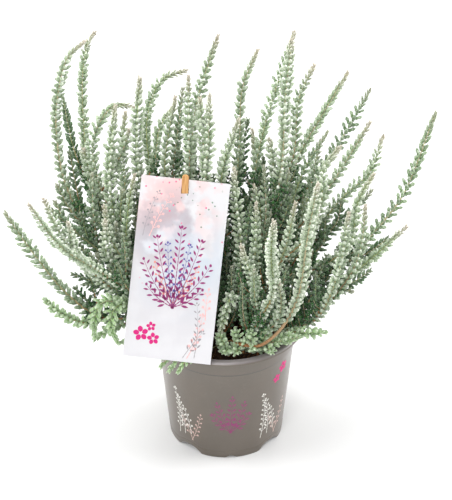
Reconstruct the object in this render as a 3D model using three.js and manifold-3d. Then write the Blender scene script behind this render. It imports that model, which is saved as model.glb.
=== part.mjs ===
// Potted heather: a round plastic nursery pot of peat, woody sprays of velvety heather,
// and a hang card held by a flat wooden stake.
// Millimetres, +Z up. The origin is on the pot's axis, at the surface the pot stands on,
// and -Y is the front, where the card hangs.
import * as THREE from "three";
import { mergeVertices } from "three/addons/utils/BufferGeometryUtils.js";
import Module from "manifold-3d";

const wasm = await Module();
wasm.setup();

const gap = 0.3; // clearance between pieces that touch in the real object

const pot = {
  height: 102,
  lipRadius: 60,
  lipThickness: 2.8,
  lipRound: 0.8,
  mouthRadius: 54.4,
  neckRadius: 53.8, // outside of the wall, just under the lip
  stepHeight: 85.5, // where the collar ends in a shallow step
  stepRadius: 53,
  stepDepth: 0.7,
  stepEase: 0.4, // half the height over which the step falls away
  footRadius: 43.7, // outside of the wall at the ground
  wall: 1.5,
  footWidth: 3,
  baseRaise: 6, // underside of the base plate above the ground
  baseThickness: 1.6,
  sides: 44,
};

// Drain arches and small notches in the foot ring; first is the angle of the first one from the front.
const arches = {
  count: 4,
  first: -40,
  halfSill: 10.1,
  halfShoulder: 9.5,
  shoulder: 2.4,
  halfTop: 6.1,
  height: 5.4,
};
const notches = { count: 4, first: 5, width: 4, height: 0.9 };
const cutDepth = 12; // how deep the arch and notch cutters reach along the radius
const drains = { count: 6, circle: 27, radius: 3.4, sides: 8 };

const peat = { top: 93, crown: 1.2, edgeDrop: 1.6, innerRing: 20, outerRing: 41, sides: 24 };

const card = {
  width: 65,
  length: 135,
  thickness: 0.8,
  foot: [-43.8, -60, 106], // middle of the lower edge
  leanBack: 25, // degrees from upright
  turn: 6.3, // degrees clockwise in its own plane
  slotDrop: 11.6, // where the stake passes through, below the upper edge
};

const stake = { foot: [-37.5, -21, 60], width: 5, thickness: 1.4, aboveSlot: 13.5 };

const wood = { footRadius: 1.5, topRadius: 1, step: 13, inPeat: 14, neck: 3, buttSides: 6 };
const tuft = {
  pitch: 5.4, // from one pair to the next
  rise: 4, // how far a tuft's tip stands above its root
  core: 0.36, // radius of the groove between the pairs, as a share of their reach
  collar: 12, // length over which the lowest tufts grow to full reach
  lowest: 0.6, // share of the full reach at the collar
  taper: 20, // length over which the shoot narrows to its tip
  last: 0.3, // share of the full reach at the tip
  sway: 0.08, // how much the reach varies from pair to pair
};
const goldenAngle = 2.4; // turns each shoot's first pair away from the one before
const slim = 3.5; // reach of the leaf tufts from the stem's middle, by kind of shoot
const plain = 4.3;
const broad = 5;

// Each spray stands in its own hole at foot. Its first shoot rises from there, and the others fork off the
// shoot before them that they name, at a share of its length. A route lists the points a shoot passes on its
// way up and ends at its tip; bare is the share of its length that is leafless wood.
const sprays = [
  {
    name: "spray_left_tall",
    foot: [-34, 10],
    shoots: [
      {
        reach: plain, bare: 0.3,
        route: [[-62, 11, 120], [-96, 12, 155], [-120, 31, 204], [-125, 38, 246], [-102, 28, 324]],
      },
      { from: 0, at: 0.4, reach: plain, bare: 0.1, route: [[-116, 12, 174], [-127, 18, 194]] },
    ],
  },
  {
    name: "spray_left_back",
    foot: [-29, 19],
    shoots: [
      {
        reach: plain, bare: 0.36,
        route: [[-60, 30, 130], [-100, 47, 180], [-107, 70, 231], [-98, 95, 294]],
      },
      { from: 0, at: 0.48, reach: plain, bare: 0.05, route: [[-114, 64, 208], [-123, 84, 244]] },
    ],
  },
  {
    name: "spray_left_arching",
    foot: [-26, 9],
    shoots: [
      {
        reach: plain, bare: 0.36,
        route: [[-52, 15, 130], [-88, 24, 186], [-99, 46, 230], [-84, 62, 250], [-69, 68, 246]],
      },
    ],
  },
  {
    name: "spray_left_pale",
    foot: [-22, 2],
    shoots: [
      {
        reach: broad, bare: 0.26,
        route: [[-48, -2, 130], [-76, -2, 166], [-86, 16, 215], [-81, 34, 267]],
      },
      {
        from: 0, at: 0.5, reach: plain, bare: 0.12,
        route: [[-75, 24, 208], [-77, 34, 230], [-74, 42, 257]],
      },
    ],
  },
  {
    name: "spray_card_left",
    foot: [-18, 9],
    shoots: [
      {
        reach: broad, bare: 0.36,
        route: [[-42, 15, 140], [-64, 23, 212], [-65, 25, 256], [-62, 25, 296]],
      },
      {
        from: 0, at: 0.56, reach: slim, bare: 0.1,
        route: [[-53, 34, 221], [-49, 45, 242], [-39, 52, 256]],
      },
    ],
  },
  {
    name: "spray_card_left_back",
    foot: [-15, 17],
    shoots: [
      {
        reach: plain, bare: 0.34,
        route: [[-34, 34, 146], [-57, 52, 204], [-58, 72, 242], [-47, 84, 261], [-30, 88, 266]],
      },
      { from: 0, at: 0.42, reach: plain, bare: 0.12, route: [[-36, 54, 233], [-32, 66, 263]] },
    ],
  },
  {
    name: "spray_behind_card",
    foot: [-11, 5],
    shoots: [
      { reach: plain, bare: 0.36, route: [[-28, 10, 150], [-45, 19, 218], [-37, 30, 277]] },
      {
        from: 0, at: 0.42, reach: plain, bare: 0.1,
        route: [[-27, 11, 222], [-27, 13, 262], [-27, 14, 304]],
      },
    ],
  },
  {
    name: "spray_top_left",
    foot: [-7, 17],
    shoots: [
      {
        reach: plain, bare: 0.4,
        route: [[-14, 24, 150], [-25, 35, 222], [-21, 45, 270], [-6, 50, 316]],
      },
    ],
  },
  {
    name: "spray_card_top",
    foot: [-4, 4],
    shoots: [
      {
        reach: broad, bare: 0.36,
        route: [[-9, 4, 150], [-15, 6, 226], [-13, 12, 248], [-12, 22, 283]],
      },
      { from: 0, at: 0.7, reach: plain, bare: 0.05, route: [[-17, 17, 254], [-19, 26, 278]] },
    ],
  },
  {
    name: "spray_middle_back",
    foot: [2, 13],
    shoots: [
      { reach: plain, bare: 0.36, route: [[5, 20, 160], [10, 35, 240], [14, 40, 279], [25, 40, 311]] },
      { from: 0, at: 0.5, reach: plain, bare: 0.1, route: [[12, 40, 222], [16, 52, 244]] },
    ],
  },
  {
    name: "spray_middle_pale",
    foot: [3, 2],
    shoots: [
      { reach: broad, bare: 0.3, route: [[-1, 6, 160], [-3, 9, 224], [9, 23, 262]] },
    ],
  },
  {
    name: "spray_card_right",
    foot: [3, -9],
    shoots: [
      { reach: broad, bare: 0.16, route: [[9, -10, 132], [11, -8, 173], [7, 0, 210], [6, 6, 230]] },
      {
        from: 0, at: 0.1, reach: plain, bare: 0.3,
        route: [[22, -35, 152], [18, -44, 172], [11, -49, 200]],
      },
    ],
  },
  {
    name: "spray_right_back_tall",
    foot: [9, 13],
    shoots: [
      { reach: plain, bare: 0.34, route: [[16, 22, 155], [23, 41, 217], [32, 62, 246], [51, 95, 295]] },
    ],
  },
  {
    name: "spray_right_tall",
    foot: [13, 7],
    shoots: [
      { reach: broad, bare: 0.3, route: [[26, 10, 155], [40, 17, 216], [45, 20, 284], [51, 22, 329]] },
      {
        from: 0, at: 0.42, reach: plain, bare: 0.1,
        route: [[50, 28, 230], [53, 38, 270], [64, 43, 296]],
      },
    ],
  },
  {
    name: "spray_right_leaning",
    foot: [19, 14],
    shoots: [
      { reach: plain, bare: 0.3, route: [[36, 26, 150], [55, 46, 218], [70, 62, 239], [91, 84, 266]] },
      {
        from: 0, at: 0.38, reach: plain, bare: 0.1,
        route: [[72, 46, 206], [88, 58, 227], [108, 80, 254]],
      },
    ],
  },
  {
    name: "spray_right_inner",
    foot: [20, 5],
    shoots: [
      { reach: slim, bare: 0.3, route: [[38, 12, 150], [57, 22, 218], [75, 42, 240]] },
      {
        from: 0, at: 0.36, reach: plain, bare: 0.08,
        route: [[74, 15, 205], [89, 20, 230], [105, 26, 258]],
      },
    ],
  },
  {
    name: "spray_right_side",
    foot: [28, 12],
    shoots: [
      {
        reach: plain, bare: 0.26,
        route: [[52, 18, 140], [81, 30, 190], [100, 44, 203], [117, 62, 224]],
      },
    ],
  },
  {
    name: "spray_right_long",
    foot: [35, 10],
    shoots: [
      {
        reach: slim, bare: 0.26,
        route: [[60, 12, 120], [90, 15, 143], [114, 36, 158], [134, 54, 176], [158, 82, 231]],
      },
    ],
  },
  {
    name: "spray_right_pale",
    foot: [24, -3],
    shoots: [
      { reach: broad, bare: 0.26, route: [[44, -2, 140], [70, 1, 205], [71, 9, 228], [83, 18, 241]] },
      {
        from: 0, at: 0.26, reach: plain, bare: 0.1,
        route: [[90, -8, 172], [97, -1, 208], [108, 6, 226]],
      },
    ],
  },
  {
    name: "spray_right_low",
    foot: [34, -4],
    shoots: [
      { reach: slim, bare: 0.26, route: [[62, -4, 116], [92, -4, 142], [111, 4, 155], [134, 14, 174]] },
      { from: 0, at: 0.3, reach: plain, bare: 0.1, route: [[80, -18, 126], [98, -30, 130]] },
    ],
  },
  {
    name: "spray_right_front",
    foot: [30, -14],
    shoots: [
      {
        reach: slim, bare: 0.24,
        route: [[48, -24, 108], [66, -32, 122], [82, -45, 177], [87, -54, 232]],
      },
      {
        from: 0, at: 0.3, reach: slim, bare: 0.1,
        route: [[92, -26, 160], [99, -24, 186], [101, -22, 217]],
      },
      { from: 0, at: 0.12, reach: plain, bare: 0.1, route: [[60, -40, 112], [74, -50, 110]] },
    ],
  },
  {
    name: "spray_front_bent",
    foot: [9, -21],
    shoots: [
      {
        reach: broad, bare: 0.36,
        route: [[18, -25, 99], [34, -31, 106], [50, -43, 146], [56, -58, 214], [64, -66, 263]],
      },
    ],
  },
  {
    name: "spray_front_right",
    foot: [15, -9],
    shoots: [
      { reach: plain, bare: 0.2, route: [[30, -18, 140], [43, -26, 182], [50, -27, 222]] },
    ],
  },
  {
    name: "spray_front_middle",
    foot: [11, -2],
    shoots: [
      { reach: slim, bare: 0.3, route: [[18, -4, 140], [29, 2, 186], [28, 20, 224]] },
      { from: 0, at: 0.3, reach: slim, bare: 0.1, route: [[21, -22, 170], [22, -16, 215]] },
    ],
  },
  {
    name: "spray_front_leaning",
    foot: [13, -33],
    shoots: [
      {
        reach: broad, bare: 0.16,
        route: [[24, -44, 130], [35, -57, 166], [32, -70, 202], [33, -88, 247]],
      },
      {
        from: 0, at: 0.1, reach: plain, bare: 0.16,
        route: [[36, -46, 128], [40, -56, 156], [38, -60, 176]],
      },
    ],
  },
  {
    name: "spray_front_drooping",
    foot: [-3, -22],
    shoots: [
      {
        reach: plain, bare: 0.34,
        route: [[2, -24, 122], [4, -31, 143], [-1, -40, 134], [-5, -43, 114]],
      },
    ],
  },
  {
    name: "spray_low_front",
    foot: [2, -38],
    shoots: [
      { reach: plain, bare: 0.2, route: [[-1, -41, 104], [-5, -42, 109]] },
    ],
  },
  {
    name: "spray_low_front_right",
    foot: [24, -36],
    shoots: [
      { reach: plain, bare: 0.2, route: [[30, -40, 106], [42, -46, 113]] },
      { from: 0, at: 0.2, reach: plain, bare: 0.1, route: [[22, -44, 105], [19, -50, 111]] },
    ],
  },
  {
    name: "spray_card_edge",
    foot: [-20, -7],
    shoots: [
      {
        reach: plain, bare: 0.3,
        route: [[-48, -12, 126], [-72, -11, 160], [-71, 0, 206], [-67, 5, 226]],
      },
      { from: 0, at: 0.36, reach: plain, bare: 0.1, route: [[-86, -18, 168], [-88, -23, 204]] },
      { from: 0, at: 0.16, reach: plain, bare: 0.1, route: [[-60, -36, 116], [-78, -47, 112]] },
    ],
  },
  {
    name: "spray_left_middle",
    foot: [-31, 1],
    shoots: [
      {
        reach: plain, bare: 0.3,
        route: [[-62, 0, 122], [-94, 0, 162], [-109, -7, 182], [-127, -18, 211]],
      },
      { from: 0, at: 0.62, reach: plain, bare: 0.05, route: [[-98, 4, 194], [-98, 12, 222]] },
      { from: 0, at: 0.34, reach: plain, bare: 0.1, route: [[-98, -8, 140], [-114, -10, 148]] },
    ],
  },
  {
    name: "spray_left_front",
    foot: [-27, -9],
    shoots: [
      {
        reach: slim, bare: 0.3,
        route: [[-58, -16, 120], [-90, -29, 154], [-116, -50, 207], [-128, -64, 250]],
      },
      { from: 0, at: 0.52, reach: slim, bare: 0.05, route: [[-108, -46, 192], [-112, -56, 225]] },
    ],
  },
  {
    name: "spray_left_foremost",
    foot: [-26, -20],
    shoots: [
      {
        reach: slim, bare: 0.3,
        route: [[-58, -27, 133], [-90, -44, 173], [-118, -74, 218], [-136, -93, 265]],
      },
    ],
  },
  {
    name: "spray_left_long",
    foot: [-33, -10],
    shoots: [
      {
        reach: slim, bare: 0.26,
        route: [[-62, -15, 109], [-96, -19, 117], [-117, -25, 140], [-140, -34, 183], [-158, -40, 222]],
      },
      {
        from: 0, at: 0.34, reach: plain, bare: 0.05,
        route: [[-104, -29, 117], [-122, -40, 134], [-133, -46, 151]],
      },
      { from: 0, at: 0.22, reach: plain, bare: 0.1, route: [[-82, -32, 116], [-97, -42, 112]] },
    ],
  },
  {
    name: "spray_rear_left",
    foot: [-24, 28],
    shoots: [
      { reach: plain, bare: 0.2, route: [[-48, 48, 128], [-76, 70, 164], [-88, 88, 205]] },
      { from: 0, at: 0.3, reach: plain, bare: 0.1, route: [[-92, 60, 142], [-122, 74, 170]] },
      { from: 0, at: 0.12, reach: plain, bare: 0.1, route: [[-54, 50, 114], [-74, 62, 112]] },
    ],
  },
  {
    name: "spray_rear_middle_left",
    foot: [-10, 29],
    shoots: [
      { reach: plain, bare: 0.2, route: [[-20, 52, 132], [-34, 72, 172], [-38, 90, 216]] },
      { from: 0, at: 0.14, reach: plain, bare: 0.1, route: [[-18, 62, 112], [-22, 80, 114]] },
    ],
  },
  {
    name: "spray_rear_middle_right",
    foot: [8, 29],
    shoots: [
      { reach: plain, bare: 0.2, route: [[16, 50, 132], [24, 70, 172], [20, 90, 212]] },
      { from: 0, at: 0.14, reach: plain, bare: 0.1, route: [[20, 62, 112], [28, 80, 116]] },
    ],
  },
  {
    name: "spray_rear_right",
    foot: [22, 27],
    shoots: [
      { reach: plain, bare: 0.2, route: [[44, 46, 128], [62, 68, 164], [72, 88, 204]] },
      { from: 0, at: 0.3, reach: plain, bare: 0.1, route: [[84, 60, 142], [112, 76, 166]] },
      { from: 0, at: 0.12, reach: plain, bare: 0.1, route: [[54, 48, 114], [74, 58, 112]] },
    ],
  },
];

const finish = {
  plastic: new THREE.MeshStandardMaterial({ color: 0x7d756e, roughness: 0.45, metalness: 0 }),
  peat: new THREE.MeshStandardMaterial({ color: 0x2f2219, roughness: 1, metalness: 0 }),
  heather: new THREE.MeshStandardMaterial({ color: 0xa9b8a2, roughness: 0.9, metalness: 0 }),
  paper: new THREE.MeshStandardMaterial({ color: 0xf1eff0, roughness: 0.6, metalness: 0 }),
  timber: new THREE.MeshStandardMaterial({ color: 0xc58f5a, roughness: 0.7, metalness: 0 }),
};

// A closed geometry as a solid: shared corners merged, slivers at the poles dropped.
function toSolid(geometry) {
  const bare = geometry.index ? geometry.toNonIndexed() : geometry.clone();
  bare.deleteAttribute("normal");
  bare.deleteAttribute("uv");
  const merged = mergeVertices(bare, 1e-4);
  const corners = merged.index.array;
  const triVerts = [];
  for (let i = 0; i < corners.length; i += 3) {
    const [a, b, c] = corners.slice(i, i + 3);
    if (a !== b && b !== c && c !== a) triVerts.push(a, b, c);
  }
  return new wasm.Manifold(
    new wasm.Mesh({
      numProp: 3,
      vertProperties: new Float32Array(merged.attributes.position.array),
      triVerts: new Uint32Array(triVerts),
    }),
  );
}

function toGeometry(solid) {
  const { vertProperties, triVerts } = solid.getMesh();
  const geometry = new THREE.BufferGeometry();
  geometry.setAttribute("position", new THREE.BufferAttribute(vertProperties, 3));
  geometry.setIndex(new THREE.BufferAttribute(triVerts, 1));
  geometry.computeVertexNormals();
  return geometry;
}

const heather = new THREE.Group();

function addNode(name, solid, material) {
  const mesh = new THREE.Mesh(toGeometry(solid), material);
  mesh.name = name;
  heather.add(mesh);
}

// A profile of [radius, height] points, listed from the axis round the outside, turned about Z.
function turned(profile, sides) {
  const points = profile.map(([radius, height]) => new THREE.Vector2(radius, height));
  return toSolid(new THREE.LatheGeometry(points, sides).rotateX(Math.PI / 2));
}

// Places a solid made along +Z on the ground circle, at an angle counted from the front.
function atAngle(geometry, radius, degrees, height) {
  const angle = THREE.MathUtils.degToRad(degrees - 90);
  geometry.rotateZ(angle);
  geometry.translate(radius * Math.cos(angle), radius * Math.sin(angle), height);
  return toSolid(geometry);
}

function wallRadius(height) {
  const below = pot.stepRadius - pot.stepDepth;
  if (height < pot.stepHeight) return pot.footRadius + ((below - pot.footRadius) * height) / pot.stepHeight;
  const share = (height - pot.stepHeight) / (pot.height - pot.lipThickness - pot.stepHeight);
  return pot.stepRadius + (pot.neckRadius - pot.stepRadius) * share;
}

function makePot() {
  const { height, lipRadius, lipThickness, lipRound, mouthRadius, stepHeight, baseRaise } = pot;
  const floor = baseRaise + pot.baseThickness;
  const neck = height - lipThickness;
  let solid = turned(
    [
      [0, baseRaise],
      [pot.footRadius - pot.footWidth, baseRaise],
      [pot.footRadius - pot.footWidth, 0],
      [pot.footRadius, 0],
      [pot.stepRadius - pot.stepDepth, stepHeight - pot.stepEase],
      [pot.stepRadius, stepHeight + pot.stepEase],
      [pot.neckRadius, neck],
      [lipRadius - lipRound, neck],
      [lipRadius, neck + lipRound],
      [lipRadius, height - lipRound],
      [lipRadius - lipRound, height],
      [mouthRadius + lipRound, height],
      [mouthRadius, height - lipRound],
      [pot.neckRadius - pot.wall, neck - 1],
      [pot.stepRadius - pot.stepDepth - pot.wall, stepHeight - 1],
      [wallRadius(floor) - pot.wall, floor],
      [0, floor],
    ],
    pot.sides,
  );
  const { halfSill, halfShoulder, shoulder, halfTop } = arches;
  const opening = new THREE.Shape(
    [
      [-halfSill, -1],
      [halfSill, -1],
      [halfShoulder, shoulder],
      [halfTop, arches.height],
      [-halfTop, arches.height],
      [-halfShoulder, shoulder],
    ].map(([across, up]) => new THREE.Vector2(across, up)),
  );
  for (let i = 0; i < arches.count; i++) {
    const block = new THREE.ExtrudeGeometry(opening, { depth: cutDepth, bevelEnabled: false });
    block.rotateX(Math.PI / 2).rotateZ(Math.PI / 2).translate(-cutDepth / 2, 0, 0);
    solid = solid.subtract(atAngle(block, pot.footRadius, arches.first + (i * 360) / arches.count, 0));
  }
  for (let i = 0; i < notches.count; i++) {
    const block = new THREE.BoxGeometry(cutDepth, notches.width, 2 * notches.height);
    solid = solid.subtract(atAngle(block, pot.footRadius, notches.first + (i * 360) / notches.count, 0));
  }
  for (let i = 0; i < drains.count; i++) {
    const { radius, sides } = drains;
    const hole = new THREE.CylinderGeometry(radius, radius, 3 * pot.baseThickness, sides);
    hole.rotateX(Math.PI / 2);
    const middle = baseRaise + pot.baseThickness / 2;
    solid = solid.subtract(atAngle(hole, drains.circle, (i * 360) / drains.count, middle));
  }
  return solid;
}

function degrees(axis, angle) {
  return new THREE.Matrix4().makeRotationAxis(axis, THREE.MathUtils.degToRad(angle));
}

// The card's frame: X across it, Z up it and Y through it, from the middle of its lower edge.
const xAxis = new THREE.Vector3(1, 0, 0);
const yAxis = new THREE.Vector3(0, 1, 0);
const cardFrame = new THREE.Matrix4()
  .makeTranslation(...card.foot)
  .multiply(degrees(xAxis, -card.leanBack))
  .multiply(degrees(yAxis, card.turn));
const slotMiddle = new THREE.Vector3(0, 0, card.length - card.slotDrop).applyMatrix4(cardFrame);

function makeCard() {
  const sheet = new THREE.BoxGeometry(card.width, card.thickness, card.length);
  sheet.translate(0, 0, card.length / 2).applyMatrix4(cardFrame);
  return toSolid(sheet).subtract(splint(gap, stakeLength));
}

// The stake's frame: Z along it from its foot, and X across the splint.
const stakeFoot = new THREE.Vector3(...stake.foot);
const stakeReach = slotMiddle.clone().sub(stakeFoot);
const stakeLength = stakeReach.length() + stake.aboveSlot;
const stakeUp = stakeReach.normalize();
const stakeThrough = new THREE.Vector3().crossVectors(stakeUp, xAxis).normalize();
const stakeAcross = new THREE.Vector3().crossVectors(stakeThrough, stakeUp);
const stakeFrame = new THREE.Matrix4().makeBasis(stakeAcross, stakeThrough, stakeUp).setPosition(stakeFoot);

function splint(clearance, length) {
  const half = stake.width / 2 + clearance;
  const outline = new THREE.Shape();
  outline.moveTo(-half, -clearance);
  outline.lineTo(half, -clearance);
  outline.lineTo(half, length - half);
  outline.absarc(0, length - half, half, 0, Math.PI, false);
  const depth = stake.thickness + 2 * clearance;
  const geometry = new THREE.ExtrudeGeometry(outline, { depth, bevelEnabled: false, curveSegments: 8 });
  geometry.rotateX(Math.PI / 2).translate(0, depth / 2, 0);
  return toSolid(geometry.applyMatrix4(stakeFrame));
}

// A plain hole for a stem: six-sided, just wide enough for the butt that stands in it.
function stemHole([x, y]) {
  const radius = wood.footRadius + gap / Math.cos(Math.PI / wood.buttSides);
  const height = 2 * (wood.inPeat + gap);
  const hole = new THREE.CylinderGeometry(radius, radius, height, wood.buttSides).rotateX(Math.PI / 2);
  return toSolid(hole.translate(x, y, peat.top));
}

function makePeat() {
  const floor = pot.baseRaise + pot.baseThickness + gap;
  const edge = peat.top - peat.edgeDrop;
  const collar = pot.stepHeight - 2;
  const inner = (height) => wallRadius(height) - pot.wall - 2 * gap;
  const solid = turned(
    [
      [0, floor],
      [inner(floor), floor],
      [inner(collar), collar],
      [inner(collar), edge],
      [peat.outerRing, peat.top - gap],
      [peat.innerRing, peat.top],
      [0, peat.top + peat.crown],
    ],
    peat.sides,
  );
  const holes = sprays.map(({ foot }) => stemHole(foot));
  return solid.subtract(wasm.Manifold.union([...holes, splint(gap, stakeLength)]));
}

// Four-sided rings joined in order and closed at both ends: the last ring runs to one point.
function ringsToSolid(rings, apex) {
  const vertices = [...rings.flat(), apex];
  const triangles = [0, 2, 1, 0, 3, 2];
  for (let ring = 0; ring < rings.length; ring++) {
    for (let side = 0; side < 4; side++) {
      const a = 4 * ring + side;
      const b = 4 * ring + ((side + 1) % 4);
      if (ring === rings.length - 1) {
        triangles.push(a, b, vertices.length - 1);
      } else if ((ring + side) % 2 === 0) {
        triangles.push(a, b, b + 4, a, b + 4, a + 4);
      } else {
        triangles.push(a, b, a + 4, b, b + 4, a + 4);
      }
    }
  }
  const mesh = new wasm.Mesh({
    numProp: 3,
    vertProperties: new Float32Array(vertices.flatMap((vertex) => vertex.toArray())),
    triVerts: new Uint32Array(triangles),
  });
  return new wasm.Manifold(mesh);
}

// How far the tufts reach at a distance from the first leaf and from the tip, as a share of their full reach.
function tuftShare(fromCollar, fromTip) {
  const grown = Math.min(1, fromCollar / tuft.collar);
  const ripe = Math.min(1, Math.pow(Math.max(0, fromTip) / tuft.taper, 0.7));
  return THREE.MathUtils.lerp(tuft.lowest, 1, grown) * THREE.MathUtils.lerp(tuft.last, 1, ripe);
}

// One shoot along a curve: bare wood first, then leaf tufts in crossed pairs. On every leafy ring two
// opposite corners are the tips of a pair, pushed out and up, and the other two lie in the groove between
// the pairs.
function makeShoot(curve, shoot, turn) {
  const length = curve.getLength();
  const collar = length * shoot.bare;
  const woodRings = Math.max(2, Math.round(collar / wood.step));
  const leafRings = Math.round((length - collar) / tuft.pitch);
  const rings = [];
  const side = new THREE.Vector3(Math.cos(turn), Math.sin(turn), 0);
  const section = (distance, radii, rise) => {
    const share = Math.min(1, distance / length);
    const middle = curve.getPointAt(share);
    const along = curve.getTangentAt(share);
    side.addScaledVector(along, -side.dot(along)).normalize();
    const across = new THREE.Vector3().crossVectors(along, side);
    const spokes = [side.clone(), across, side.clone().negate(), across.clone().negate()];
    const corner = (spoke, i) =>
      middle.clone().addScaledVector(spoke, radii[i]).addScaledVector(along, rise[i]);
    rings.push(spokes.map(corner));
  };
  for (let i = 0; i < woodRings; i++) {
    const distance = (collar * i) / woodRings;
    const radius = THREE.MathUtils.lerp(shoot.woodRadius, wood.topRadius, i / woodRings);
    section(distance, [radius, radius, radius, radius], [0, 0, 0, 0]);
  }
  for (let i = 0; i < leafRings; i++) {
    const distance = collar + ((length - collar) * i) / leafRings;
    const sway = 1 + tuft.sway * Math.sin(2.4 * i + turn);
    const reach = shoot.reach * sway * tuftShare(distance - collar, length - distance);
    const core = Math.max(wood.topRadius * 0.8, reach * tuft.core);
    const isTip = (corner) => (rings.length + corner) % 2 === 0;
    const radii = [0, 1, 2, 3].map((corner) => (isTip(corner) ? reach : core));
    const rise = [0, 1, 2, 3].map((corner) => (isTip(corner) ? tuft.rise : 0));
    section(distance, radii, rise);
  }
  return ringsToSolid(rings, curve.getPointAt(1).addScaledVector(curve.getTangentAt(1), tuft.rise));
}

// The upright butt of a spray's stem, from the bottom of its hole to just above the peat.
function makeButt([x, y]) {
  const height = wood.inPeat + wood.neck + wood.footRadius / 2;
  const butt = new THREE.CylinderGeometry(wood.footRadius, wood.footRadius, height, wood.buttSides);
  butt.rotateX(Math.PI / 2).translate(x, y, peat.top - wood.inPeat + height / 2);
  return toSolid(butt);
}

function makeSpray({ foot, shoots }, sprayIndex) {
  const neck = new THREE.Vector3(foot[0], foot[1], peat.top + wood.neck);
  const curves = [];
  const solids = [makeButt(foot)];
  shoots.forEach((shoot, i) => {
    const forked = shoot.from !== undefined;
    const start = forked ? curves[shoot.from].getPointAt(shoot.at) : neck;
    const points = [start, ...shoot.route.map((point) => new THREE.Vector3(...point))];
    const curve = new THREE.CatmullRomCurve3(points, false, "centripetal");
    curves.push(curve);
    const woodRadius = forked ? wood.topRadius : wood.footRadius;
    solids.push(makeShoot(curve, { ...shoot, woodRadius }, goldenAngle * (sprayIndex + 3 * i)));
  });
  return wasm.Manifold.union(solids);
}

addNode("pot", makePot(), finish.plastic);
addNode("peat_root_ball", makePeat(), finish.peat);
sprays.forEach((spray, index) => addNode(spray.name, makeSpray(spray, index), finish.heather));
addNode("hang_card", makeCard(), finish.paper);
addNode("stake", splint(0, stakeLength), finish.timber);

export default heather;
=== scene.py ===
# Potted heather: a plastic pot of peat, velvety leafy shoots, and a printed card on a wooden stake.
import bisect
import math
import random

import bmesh
import bpy
from mathutils import Matrix, Vector, geometry, noise


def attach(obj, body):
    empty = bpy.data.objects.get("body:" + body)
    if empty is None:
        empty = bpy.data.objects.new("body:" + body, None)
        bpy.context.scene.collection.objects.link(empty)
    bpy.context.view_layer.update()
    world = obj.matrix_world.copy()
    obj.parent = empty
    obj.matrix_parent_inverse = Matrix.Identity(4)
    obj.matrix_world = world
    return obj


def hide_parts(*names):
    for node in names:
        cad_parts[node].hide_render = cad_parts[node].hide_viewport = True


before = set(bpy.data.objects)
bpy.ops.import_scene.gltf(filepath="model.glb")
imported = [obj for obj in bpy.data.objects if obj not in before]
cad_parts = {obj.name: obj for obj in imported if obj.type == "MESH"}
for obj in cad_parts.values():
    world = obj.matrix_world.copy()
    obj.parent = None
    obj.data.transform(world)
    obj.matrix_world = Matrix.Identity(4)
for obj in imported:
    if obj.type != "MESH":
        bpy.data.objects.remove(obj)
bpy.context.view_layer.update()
mm = 0.001
xAxis = Vector((1, 0, 0))
zAxis = Vector((0, 0, 1))


def addObject(name, data):
    thing = bpy.data.objects.new(name, data)
    bpy.context.collection.objects.link(thing)
    return thing


# Camera, light and floor
camera = {
    "aim": (0, 0, 0.1631),
    "distance": 1.8,
    "elevation": 34.44,  # degrees above the horizon
    "lens": 174.25,
    "sensor": 36,  # along the picture's longer side, in mm
    "farthest": 20,
}
studio = {
    "frontSky": 0.44, "backSky": 0.8,
    "floorSize": 6, "floorTone": 0.72,
    "lamps": {  # place, size in m, power in W
        "topLamp": ((-0.3, 0.2, 1.9), 1.5, 26),
        "keyLamp": ((-0.3, -1.55, 1.3), 1.2, 21),
        "leftLamp": ((-1.4, 0.2, 0.8), 1.2, 15),
        "rightLamp": ((1.4, 0.2, 0.8), 1.2, 19),
        "rimLamp": ((0.35, 1.5, 1.15), 0.8, 3),
    },
}


def aimAt(thing, target):
    way = Vector(target) - thing.location
    thing.rotation_mode = "QUATERNION"
    thing.rotation_quaternion = way.to_track_quat("-Z", "Y")


def makeCamera():
    data = bpy.data.cameras.new("camera")
    data.sensor_width = camera["sensor"]
    data.lens = camera["lens"]
    data.clip_end = camera["farthest"]
    holder = addObject("camera", data)
    rise = math.radians(camera["elevation"])
    back = Vector((0, -math.cos(rise), math.sin(rise)))
    holder.location = Vector(camera["aim"]) + back * camera["distance"]
    aimAt(holder, camera["aim"])
    bpy.context.scene.camera = holder


def makeLamp(name, place, size, power):
    data = bpy.data.lights.new(name, "AREA")
    data.shape = "DISK"
    data.size = size
    data.energy = power
    lamp = addObject(name, data)
    lamp.location = place
    aimAt(lamp, camera["aim"])


def makeStudio():
    world = bpy.data.worlds.new("paleStudio")
    world.use_nodes = True
    tree = world.node_tree
    sky = tree.nodes["Background"].inputs
    sky["Color"].default_value = (1, 1, 1, 1)
    direction = addNode(tree, "ShaderNodeTexCoord").outputs["Generated"]
    backward = addNode(tree, "ShaderNodeSeparateXYZ", {"Vector": direction}).outputs[1]
    glow = spread(tree, backward, studio["frontSky"], studio["backSky"], -1.0)
    seen = addNode(tree, "ShaderNodeLightPath").outputs["Is Camera Ray"]  # the backdrop itself is plain white
    tree.links.new(spread(tree, seen, glow, 1.0), sky["Strength"])
    bpy.context.scene.world = world
    bpy.context.scene.view_settings.view_transform = "Standard"
    for name, (place, size, power) in studio["lamps"].items():
        makeLamp(name, place, size, power)


# Shader helpers
def paint(red, green, blue):  # a colour as seen on screen, 0 to 255, as the shader's linear colour
    def linear(value):
        share = value / 255
        return share / 12.92 if share <= 0.04045 else ((share + 0.055) / 1.055) ** 2.4

    return (linear(red), linear(green), linear(blue), 1)


def feed(tree, socket, value):  # links a socket to another one, or gives it a value
    if isinstance(value, bpy.types.NodeSocket):
        tree.links.new(value, socket)
    else:
        socket.default_value = value


def addNode(tree, kind, wires=None, **settings):
    node = tree.nodes.new(kind)
    for name, value in settings.items():
        setattr(node, name, value)
    for socket, value in (wires or {}).items():
        feed(tree, node.inputs[socket], value)
    return node


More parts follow.
